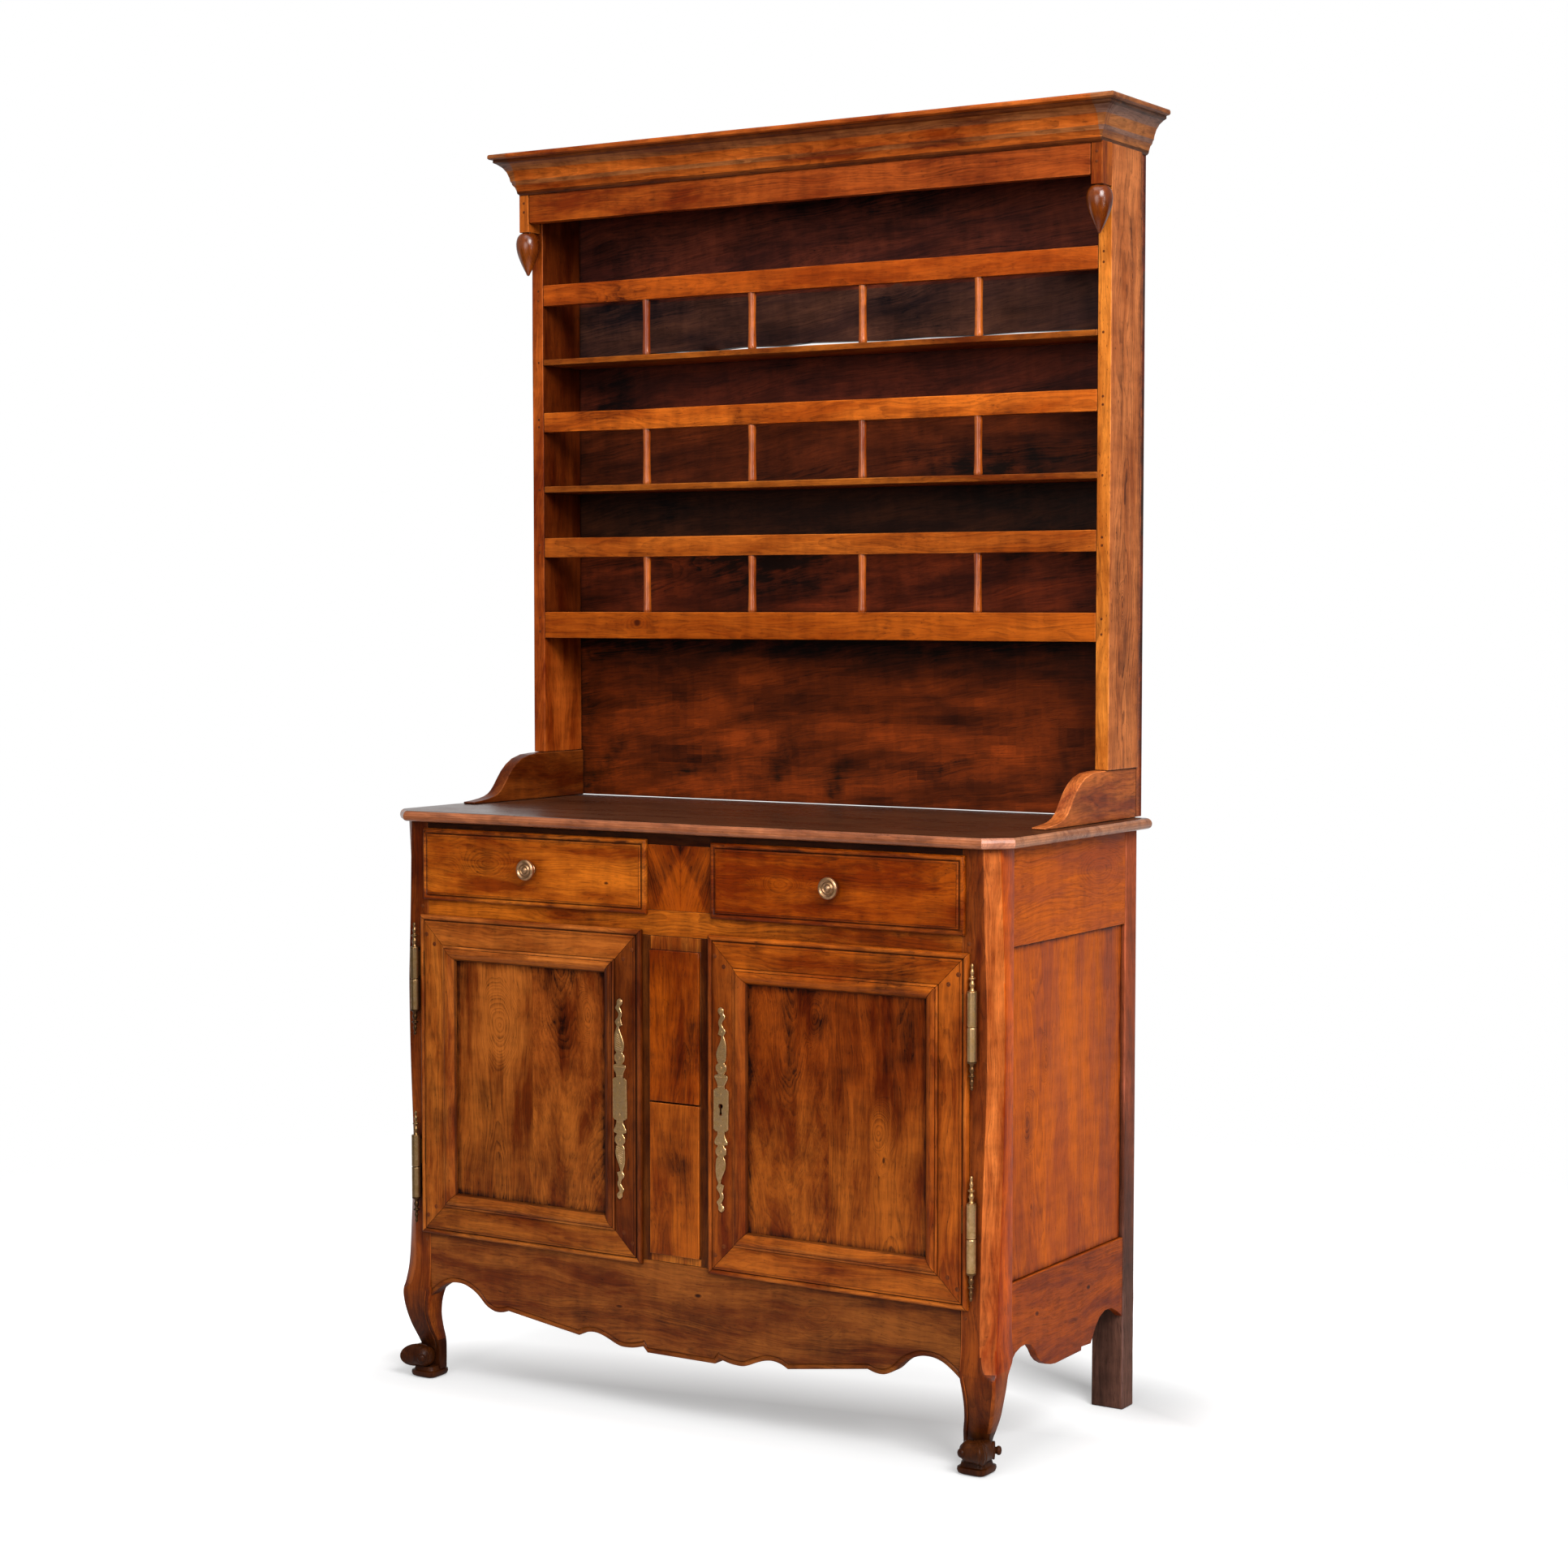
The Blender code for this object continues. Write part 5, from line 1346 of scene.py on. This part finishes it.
def cornice_tone(at, way):
    """A dusty top, then the painted light, shade and sheen of each band of the moulding, with a painted grey sheen
    along the sides.
    """
    if way.z > 0.9:
        return (0.5, 0.45, 0.45)
    lit = next(tone for top, tone in PAINTED_LIGHT_BANDS if at.z < top)
    return lit if abs(at.x) < 0.57 else (0.8 * lit[0], 1.25 * lit[1], 3.2 * lit[2])


tint(shape, cornice_tone)
warp(shape, 0.5 * MM, 0.12)
settle(shape, "cornice_worn", waxed, "cornice", sharp=32)

# %% Frieze and end blocks
shape = plank((-0.5562, 0.5562), (0.1065, 0.126), (2.0105, 2.1115))
soften(shape, 1.5 * MM)
slice_up(shape, X=0.03)
stain(shape, "XZ", [(0.3, 2.03, 0.12, 0.02, 0.25), (-0.25, 2.04, 0.15, 0.02, 0.2), (0.0, 2.058, 2.0, 0.006, 0.35)])
lay_grain(shape, "frieze", "X", "Z")
tint(shape, lambda at, way: (0.88 + 0.6 * max(0, -at.x), 0.6 + 0.65 * max(0, -at.x), 0.75))
warp(shape, 0.7 * MM, 0.10)
settle(shape, "frieze_board", waxed, "frieze")

BLOCK_X, BLOCK_LOW = (0.5572, 0.5775), 1.9945
shape = bmesh.new()
for side in (-1, 1):
    skin(shape, box_rings([side * x for x in BLOCK_X], (0.1055, 0.1415), (BLOCK_LOW, 2.110)))
outward(shape)
soften(shape, 1.4 * MM)
slice_up(shape, Z=0.03)
lay_grain(shape, "blocks", "Z", "Y")
tint(shape, (1.1, 0.95, 1.0))
settle(shape, "frieze_blocks", waxed)
print("blocks hang to", BLOCK_LOW)

# %% Turned drops
DROP = millimetres([
    (0, 3), (8.5, 3), (9.5, 1.5), (9.8, -0.5), (12, -1.5), (15.5, -3.4), (19.4, -9.4), (21.3, -18), (21, -27),
    (18.4, -39), (13.6, -52), (7.6, -64.5), (4.2, -71), (2.2, -75), (0, -76.5),
])
shape = bmesh.new()
for side in (-1, 1):
    spin(shape, turned(DROP, 3, (1, 3)), Matrix.Translation((side * 0.567, 0.1175, BLOCK_LOW)))
outward(shape)
lay_grain(shape, "drops", "Z", "X", heart=(0.6, 0.05, 0.2))
tint(shape, (0.62, 0.5, 0.5))
# Turned and burnished with shavings on the lathe: smooth enough for small bright highlights
drop_look = fruitwood("waxed turned cherry", *CHERRY, ring=3 * MM, rough=(0.16, 0.26), shine=0.6)
settle(shape, "frieze_drops", drop_look, sharp=55, weighted=False)
print("rows in a drop", len(DROP))

# %% [markdown]
# ## Plate rack
#
# Three rails keep plates from falling forward, and each is held off its shelf by four thin turned
# spindles. Rails are rubbed to a honey colour by plates and hands. The bottom shelf has a deep front
# rail with a black knot.

# %% Rails and spindles
# lower and upper edge, foot of the spindles, tone
RAILS = [
    (1.866, 1.903, 1.7703, (0.95, 0.73, 0.45)),
    (1.640, 1.675, 1.5433, (1.26, 1.16, 0.82)),
    (1.415, 1.450, 1.3173, (0.96, 0.92, 0.75)),
]
SPINDLE = millimetres([(7.2, 0), (7.6, 4), (7.2, 9), (6.8, 20), (6.4, 48), (6.7, 76), (7.2, 88), (7.4, 92)])
for number, (low, high, stand, tone) in enumerate(RAILS, 1):
    node = f"plate_rail_{number}"
    shape = plank((-0.5525, 0.5525), (0.1422, 0.160), (low, high))
    soften(shape, 1.5 * MM)
    slice_up(shape, X=0.03)
    marks = scatter(node, 9, (-0.5, 0.5), (low, high), (0.01, 0.05), 0.006, (0.2, 0.6))
    stain(shape, "XZ", marks + [(0.0, low, 2.0, 0.004, 0.25)])
    lay_grain(shape, node, "X", "Z")
    tint(shape, tone)
    warp(shape, 0.6 * MM, 0.16)
    settle(shape, node + "_worn", honey, node)
    shape = bmesh.new()
    stretch = (low - stand) / SPINDLE[-1][1]
    profile = [(0, 0), *((p.x, p.y * stretch) for p in flowing(SPINDLE, 3)), (0, low - stand + 0.0005)]
    for step in (-3, -1, 1, 3):
        spin(shape, profile, Matrix.Translation((0.2215 * step / 2, 0.151, stand)), 24)
    outward(shape)
    lay_grain(shape, f"spindles_{number}", "Z", "Y")
    tint(shape, (1.4, 1.2, 1.3))
    settle(shape, f"spindles_{number}", drop_look, sharp=55, weighted=False)

print("rails", len(RAILS))

# %% Bottom shelf
shape = board("shelf_3")
soften(shape, 1.5 * MM)
slice_up(shape, X=0.03)
stain(shape, "XZ", scatter("shelf_3", 10, (-0.5, 0.5), (1.27, 1.317), (0.01, 0.05), 0.007, (0.2, 0.6)))
tint(shape, lambda at, way: (0.89, 0.77, 0.37) if way.y < -0.3 else (0.6, 0.5, 0.5))
look = knotted(
    shape, "waxed cherry, shelf rail", "shelf_3", "X", "Z", [((-0.348, 0.142, 1.298), 0.007, 0.95)],
    *HONEY, figure=0.24,
)
warp(shape, 0.6 * MM, 0.2)
settle(shape, "shelf_3_worn", look, "shelf_3")

# %% [markdown]
# ## Back boards
#
# The back is wide boards laid flat, split along one joint so that daylight shows through. Kitchen smoke
# has darkened the upper bays, and painted shade in each bay's tone makes them almost black; over the
# table they are warmer, with dark clouds, a band of painted shadow under the bottom shelf, and streaks
# where branches left the trunk. These are ellipses on the board's points again, larger and softer than
# the flames of the doors; a streak is a short row of small ones.

# %% Smoke, painted shadow and streaks on the upper back
shape = board("upper_back")
for vert in shape.verts:
    if 1.7818 < vert.co.z < 1.79 and abs(vert.co.x) < 0.5:
        vert.co.z += (0.9 + 1.2 * noise.noise(vert.co * 23)) * MM
    if vert.co.z < 0.99:
        vert.co.z -= 1.9 * MM
slice_up(shape, X=0.016, Z=0.016)
clouds = scatter("smoke", 34, (-0.55, 0.55), (1.28, 2.05), (0.05, 0.16), (0.015, 0.04), (0.2, 0.6))
# The band at 1.262 m across the whole back is painted shadow under the bottom shelf.
clouds += [
    (0.0, 1.95, 0.7, 0.12, 0.3), (-0.5, 1.6, 0.10, 0.6, 0.3), (0.0, 1.262, 0.8, 0.028, 0.8),
    (-0.56, 1.1, 0.04, 0.2, 0.4), (-0.30, 1.15, 0.12, 0.05, -0.6), (0.10, 1.14, 0.12, 0.06, -0.7),
    (0.40, 1.12, 0.10, 0.07, -0.6), (-0.1, 1.03, 0.3, 0.02, 0.25),
]
# Branches left dark streaks that lean one way and the other
STREAKS = [
    (-0.245, 1.195, -0.18, 1.10), (0.14, 1.21, 0.25, 1.12), (0.19, 1.035, 0.295, 1.078), (-0.014, 0.995, 0.015, 1.062),
    (-0.53, 1.0, -0.46, 1.08), (-0.34, 1.02, -0.25, 1.065), (-0.13, 1.03, -0.10, 1.09), (0.43, 1.02, 0.46, 1.10),
]
for x0, z0, x1, z1 in STREAKS:
    clouds += [(x0 + (x1 - x0) * n / 6, z0 + (z1 - z0) * n / 6, 0.012, 0.012, 0.42) for n in range(7)]
stain(shape, "XZ", clouds)
lay_grain(shape, "upper_back", "X", "Z", tilt=0.12)
cut_at(shape, "Y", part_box("upper_back")[0][1] + 11 * MM)
print("clouds", len(clouds))

# %% Upper back
OVER_TABLE = 1.26
# top of each bay, and its tone, which also carries the shade painted under the shelf above
BAY_TONES_AND_SHADE = [
    (OVER_TABLE, (1.8, 1.25, 0.36)), (1.44, (1.7, 1.2, 0.9)), (1.545, (0.6, 0.8, 1.0)), (1.66, (1.3, 1.1, 0.85)),
    (1.77, (1.35, 1.1, 1.5)), (1.88, (1.2, 2.1, 4.4)), (3, (1.9, 1.75, 2.8)),
]


def back_tone(at, way):
    """Pale outer edges; elsewhere each bay's own tone with its painted shade, blotched by a slanting noise."""
    if abs(way.x) > 0.7 and abs(at.x) > 0.57 and at.y < 0.266:
        return (4.6, 5.6, 6.5)
    blotch = noise.fractal(Vector((6 * at.x + 8 * at.z, 15 * at.z - 4 * at.x, 3)), 0.9, 2.0, 4)
    share = 1 + (0.75 if at.z < OVER_TABLE else 0.4) * max(-0.9, min(1.1, blotch))
    return [share * level for level in next(tone for top, tone in BAY_TONES_AND_SHADE if at.z < top)]


tint(shape, back_tone)
settle(shape, "upper_back_worn", smoked, "upper_back")
print("bays", len(BAY_TONES_AND_SHADE))

# %% [markdown]
# ## Drawer boxes and bolt
#
# Behind the show wood the drawers are plain pale boards, rough from the saw, and the lock has a flat
# forged bolt.

# %% Drawer boxes and bolt
for tail in ("left", "right"):
    node = "drawer_box_" + tail
    shape = board(node)
    soften(shape, 0.8 * MM)
    slice_up(shape, Y=0.06)
    lay_grain(shape, node, "Y", "X")
    settle(shape, node + "_planed", lining, node)
shape = board("lock_bolt")
soften(shape, 0.7 * MM)
settle(shape, "lock_bolt_forged", iron, "lock_bolt")

# %% [markdown]
# ## Brass knobs and hinges
#
# The knobs were turned: a rose against the wood, a thin neck and a dished head with a button. The
# hinges are long barrels that turn on a pin, with a string of small balls above and below. The upper
# half of each goes with the door and the lower half stays on the post.

# %% Knobs
TO_FRONT = Matrix.Rotation(math.pi / 2, 4, "X")
KNOB = millimetres([
    (0, 0), (10, 0), (10.5, 1), (9.2, 2.6), (8.2, 5), (9.4, 7.6), (14.6, 9.6), (17.2, 12), (17.6, 14.4),
    (16.8, 17), (14.6, 18.6), (13.2, 18.4), (12.2, 17), (10.6, 16.2), (9.6, 16.8), (8.6, 18.2), (7.4, 18.4),
    (6.2, 17.2), (4.8, 17.4), (3.6, 19.2), (0, 20.2),
])
for side, tail in SIDES:
    shape = bmesh.new()
    spin(shape, turned(KNOB, 3, (1, 3)), Matrix.Translation((side * 0.2935, FRONT - 0.0091, 0.891)) @ TO_FRONT, 48)
    outward(shape)
    tint(shape, (0.70, 0.65, 0.75))
    settle(shape, f"drawer_knob_{tail}_turned", brass, f"drawer_knob_{tail}", sharp=60, weighted=False)

print("rows in a knob", len(KNOB))

# %% Hinges
HINGE_X, BARREL = 0.541, 54 * MM
FINIAL = millimetres([
    (7.5, 0), (7.3, 0.8), (4.4, 1.6), (3.4, 4), (3.0, 6.4), (3.7, 8), (4.3, 10.4), (4.1, 12.4), (3.2, 14.6),
    (2.6, 16.6), (3.2, 18.4), (5.0, 19.2), (5.4, 20.3), (5.0, 21.4), (3.0, 22.2), (2.2, 24.4), (2.4, 26.6),
    (3.1, 28.8), (3.1, 30.6), (2.4, 32.8), (1.8, 34.8), (1.9, 36.4), (2.5, 38.4), (2.4, 40), (1.4, 42), (0, 43),
])
half_barrel = [(0, 0.0003), (0.0066, 0.0003), (0.0074, 0.0011), (0.0075, 0.0022), (0.0075, 0.026), (0.0075, 0.052)]
half_barrel += [(radius, BARREL + height) for radius, height in turned(FINIAL, 3, (1, 2))]


def hinge_tone(middle, dull):
    """A rule for tint: black lower finials, dull upper ones, and dirt over the leaf on the door."""

    def rule(at, way):
        if abs(at.x) < HINGE_X - 9 * MM:
            return (0.2, 0.14, 0.1)
        if middle - at.z > BARREL - MM:
            return (0.25 * dull, 0.20 * dull, 0.18 * dull)
        return (0.8 * dull, 0.75 * dull, 0.7 * dull) if at.z - middle > BARREL - MM else (dull, dull, dull)

    return rule


for side, tail in SIDES:
    for which, middle in (("upper", 0.692), ("lower", 0.368)):
        for half, up in (("door", 1), ("frame", -1)):
            node = f"hinge_{which}_{half}_{tail}"
            shape = bmesh.new()
            seat = Matrix.Translation((side * HINGE_X, FRONT - 0.010, middle)) @ Matrix.Diagonal((1, 1, up, 1))
            spin(shape, half_barrel, seat, 32)
            if half == "door":
                x, y = [side * (HINGE_X - reach) for reach in (0.002, 0.033)], (FRONT - 0.0065, FRONT - 0.0045)
            else:
                x, y = [side * HINGE_X - MM, side * HINGE_X + MM], (FRONT - 0.005, FRONT + 0.022)
            leaf = plank(x, y, [middle + up * reach for reach in (0.006, 0.048)])
            shape = fuse(shape, [leaf], "UNION")
            # The left hinges are dulled to 0.45: tarnish, and painted shade where the left door's edge shadows them
            tint(shape, hinge_tone(middle, 0.45 if side < 0 else 1.0))
            settle(shape, node + "_turned", brass, node, sharp=50, weighted=False)
print("rows in half a hinge", len(half_barrel))

# %% [markdown]
# ## Escutcheons
#
# Long pierced plates cover the locks. They were cast thin, filed to a leafy outline, then tooled: a
# dotted border, ringed bosses, ribs across the leaves and a pin at each end. The outline is drawn as rows
# of a left and a right edge, and the lower half is the upper one turned round; the tooling is laid on it
# as small raised forms, because bump would not catch the light along their edges.

# %% Bosses, rings and ribs
def bump_out(shape, x, z, radius, rise, face, sides=12):
    """A small domed boss on the front of a plate."""
    rows = [(radius, -0.0004), (radius * 0.92, rise * 0.45), (radius * 0.6, rise * 0.85), (0, rise)]
    spin(shape, [(0, -0.0006), *rows], Matrix.Translation((x, face, z)) @ TO_FRONT, sides)


def ring_out(shape, x, z, radius, thick, rise, face):
    """A raised ring round a hollow."""
    rows = [(radius - thick, -0.0004), (radius - thick, rise * 0.6), (radius - thick / 2, rise)]
    rows += [(radius, rise * 0.6), (radius, -0.0004), (radius - thick, -0.0004)]
    before = set(shape.verts)
    spin(shape, rows, Matrix.Translation((x, face, z)) @ TO_FRONT, 20)
    bmesh.ops.remove_doubles(shape, verts=[vert for vert in shape.verts if vert not in before], dist=1e-6)


def rib(shape, start, end, half, rise, face):
    """A low ridge between two points on the front of a plate."""
    (x0, z0), (x1, z1) = start, end
    along = Vector((x1 - x0, 0, z1 - z0))
    over = along.cross(Vector((0, 1, 0))).normalized() * half
    a, b = Vector((x0, face, z0)), Vector((x1, face, z1))
    sink, lift = Vector((0, 0.0004, 0)), Vector((0, -rise, 0))
    skin(shape, [[p - over + sink, p + lift, p + over + sink] for p in (a, b)])


def tool(shape, at, face):
    """Work one half of a plate; at() turns the plate's own millimetres into a place in the part frame."""
    bump_out(shape, *at(0, 25.5), 1.8 * MM, 0.5 * MM, face)
    for wide in (-11.8, 12.2):
        for k in range(10):
            bump_out(shape, *at(wide, 1.6 + 3.0 * k), 0.7 * MM, 0.25 * MM, face, 8)
    rib(shape, at(-11, 53), at(11.4, 53), 1.2 * MM, 0.5 * MM, face)
    rib(shape, at(-6.0, 38), at(6.2, 38), 1.0 * MM, 0.4 * MM, face)
    ring_out(shape, *at(0.4, 67.5), 8.4 * MM, 1.6 * MM, 0.45 * MM, face)
    bump_out(shape, *at(0.4, 67.5), 2.6 * MM, 0.6 * MM, face)
    for k in range(8):
        z, reach = 80 + 3.6 * k, 7.0 - 0.25 * k
        rib(shape, at(-reach + 0.75 * k, z - 1.5), at(reach + 0.4, z + 2.6), 0.6 * MM, 0.3 * MM, face)
    bump_out(shape, *at(1.8, 126), 1.8 * MM, 0.5 * MM, face)
    bump_out(shape, *at(-0.4, 160), 4.0 * MM, 0.9 * MM, face, 16)


print("tools ready")

# %% Outline of the plates
# height above the middle, left edge, right edge; the lower half is the same turned round
PLATE = millimetres([
    (0, -14, 14.5), (31, -14, 14.5), (34.5, -10, 10.5), (35, -6.6, 7), (40, -6.8, 7), (47, -9.4, 10.8),
    (52, -12.4, 12.8), (55.5, -11.6, 12), (57.5, -5, 6), (60, -6.5, 7.2), (63.5, -9.2, 9.8), (67.5, -9.9, 10.5),
    (71.5, -9.2, 9.8), (75, -5.9, 6.7), (76.5, -5.2, 6.4), (80, -7.4, 9), (86, -8.7, 9.8), (92, -8.4, 10.1),
    (98, -6.6, 10.3), (104, -4, 9.8), (110, -1.4, 8.6), (115, 0.4, 6.8), (119, 1.0, 5.2), (121.5, -5.6, 6.2),
    (125.5, -4.4, 8.6), (129.5, -3.2, 7.4), (133, -2.6, 4.2), (137, -4.3, 2.2), (141, -4.8, 2.2), (145, -3.6, 5.0),
    (149, -1.4, 8.2), (152, -1.0, 7.0), (154.5, -3.2, 5.4), (157.5, -5.4, 5.0), (160, -5.8, 5.2), (163, -4.4, 3.6),
    (165, -1.6, 0.8),
])
PLATE_CORNERS = (1, 2, 3, 7, 8, 14, 22, 23)
KEYHOLE = millimetres([
    (-2.2, -9), (2.2, -9), (2.6, -6), (1.8, -4), (1.6, 2), (3.6, 3.4), (4.2, 6), (3.6, 8.6), (1.8, 10),
])
KEYHOLE += [(-x, z) for x, z in reversed(KEYHOLE[2:])]
rows = [tuple(row) for row in flowing(PLATE, 4, PLATE_CORNERS)]
rows = [(-z, -right, -left) for z, left, right in reversed(rows[1:])] + rows
print("rows in a plate", len(rows))

# %% Escutcheon plates
PLATE_X, PLATE_Z = {"left": -0.113, "right": 0.0855}, 0.5235
for side, tail in SIDES:
    node = "escutcheon_" + tail
    mid_x, mid_z, face = PLATE_X[tail], PLATE_Z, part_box(node)[0][1]
    rings = []
    for z, left, right in rows:
        slope = min(0.6 * MM, 0.3 * (right - left))
        across = [(left, 2.0), (left, 0.7), (left + slope, 0.1), ((left + right) / 2, 0), (right - slope, 0.1)]
        across += [(right, 0.7), (right, 2.0)]
        rings.append([Vector((mid_x + side * x, face + deep * MM, mid_z + z)) for x, deep in across])
    shape = loft(rings)
    if tail == "right":
        hole = [[(mid_x + x, face + deep, mid_z + z) for x, z in KEYHOLE] for deep in (-0.004, 0.006)]
        shape = fuse(shape, [loft(hole)], "DIFFERENCE")
    for up in (-1, 1):
        tool(shape, lambda x, z: (mid_x + side * up * x * MM, mid_z + up * z * MM), face)
    outward(shape)
    settle(shape, node + "_tooled", brass, node, sharp=35, weighted=False)
print("escutcheons", len(PLATE_X))

# %% [markdown]
# ## Pegs and nail holes
#
# The joints are drawn tight with oak pegs, which stand a hair proud after two centuries and have gone
# black round the rim. Each is a slightly domed plug with a chamfer; the nail holes in the end blocks
# are the same form, smaller and darker.

# %% Pegs and nail holes
# Split and cut across: end grain that drinks wax and stays darker and duller than the boards
peg_wood = fruitwood(
    "brown oak end grain", "7A3A14", "58260B", "241004", figure=0.3, rough=(0.4, 0.6), shade_and_dirt_colour="120603"
)
# radius as a share, height in millimetres
PEG = [(0, -3), (1.0, -3), (1.0, -0.2), (0.96, 0.15), (0.8, 0.4), (0, 0.55)]


def pegs(name, body, places, radius):
    """A set of plugs with their heads towards the front."""
    shape = bmesh.new()
    for place in places:
        spin(shape, [(r * radius, h * MM) for r, h in PEG], Matrix.Translation(place) @ TO_FRONT, 14)
    outward(shape)
    lay_grain(shape, name, "Y", "X")
    return settle(shape, name, peg_wood, body=body, sharp=30, weighted=False)


PROUD = FRONT - 0.0082
count = 0
for side, tail in SIDES:
    places = []
    for x, way in ((DOOR_NEAR[tail], 1), (DOOR_FAR, -1)):
        for z, up in ((DOOR_LOW, 1), (DOOR_HIGH, -1)):
            places += [(side * (x + way * a), PROUD, z + up * b) for a, b in ((0.016, 0.033), (0.033, 0.049))]
    pegs("door_pegs_" + tail, f"{tail}_door", places, 3.8 * MM)
    count += len(places)
RACK_PEGS = (1.893, 1.876, 1.765, 1.663, 1.650, 1.537, 1.438, 1.425, 1.307, 1.282)
# place across and up on each side, depth, radius
fixed_pegs = {
    "frame_pegs": ([(0.530, 0.817), (0.5255, 0.242), (0.524, 0.176)], FRONT, 3.4 * MM),
    "rack_pegs": ([(0.563, z) for z in RACK_PEGS], 0.142, 2.2 * MM),
    "block_nails": ([(0.567, 2.046), (0.567, 2.030)], 0.1055, 2.4 * MM),
}
for name, (spots, y, radius) in fixed_pegs.items():
    places = [(side * x, y, z) for side in (-1, 1) for x, z in spots]
    pegs(name, "carcase", places, radius)
    count += len(places)
print("pegs and nails", count)

# %% [markdown]
# ## Finish
#
# Last, the box of the dressed piece is measured and printed.

# %% Sizes and finish
low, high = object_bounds()
print("visual box", tuple(round(c, 4) for c in high - low))
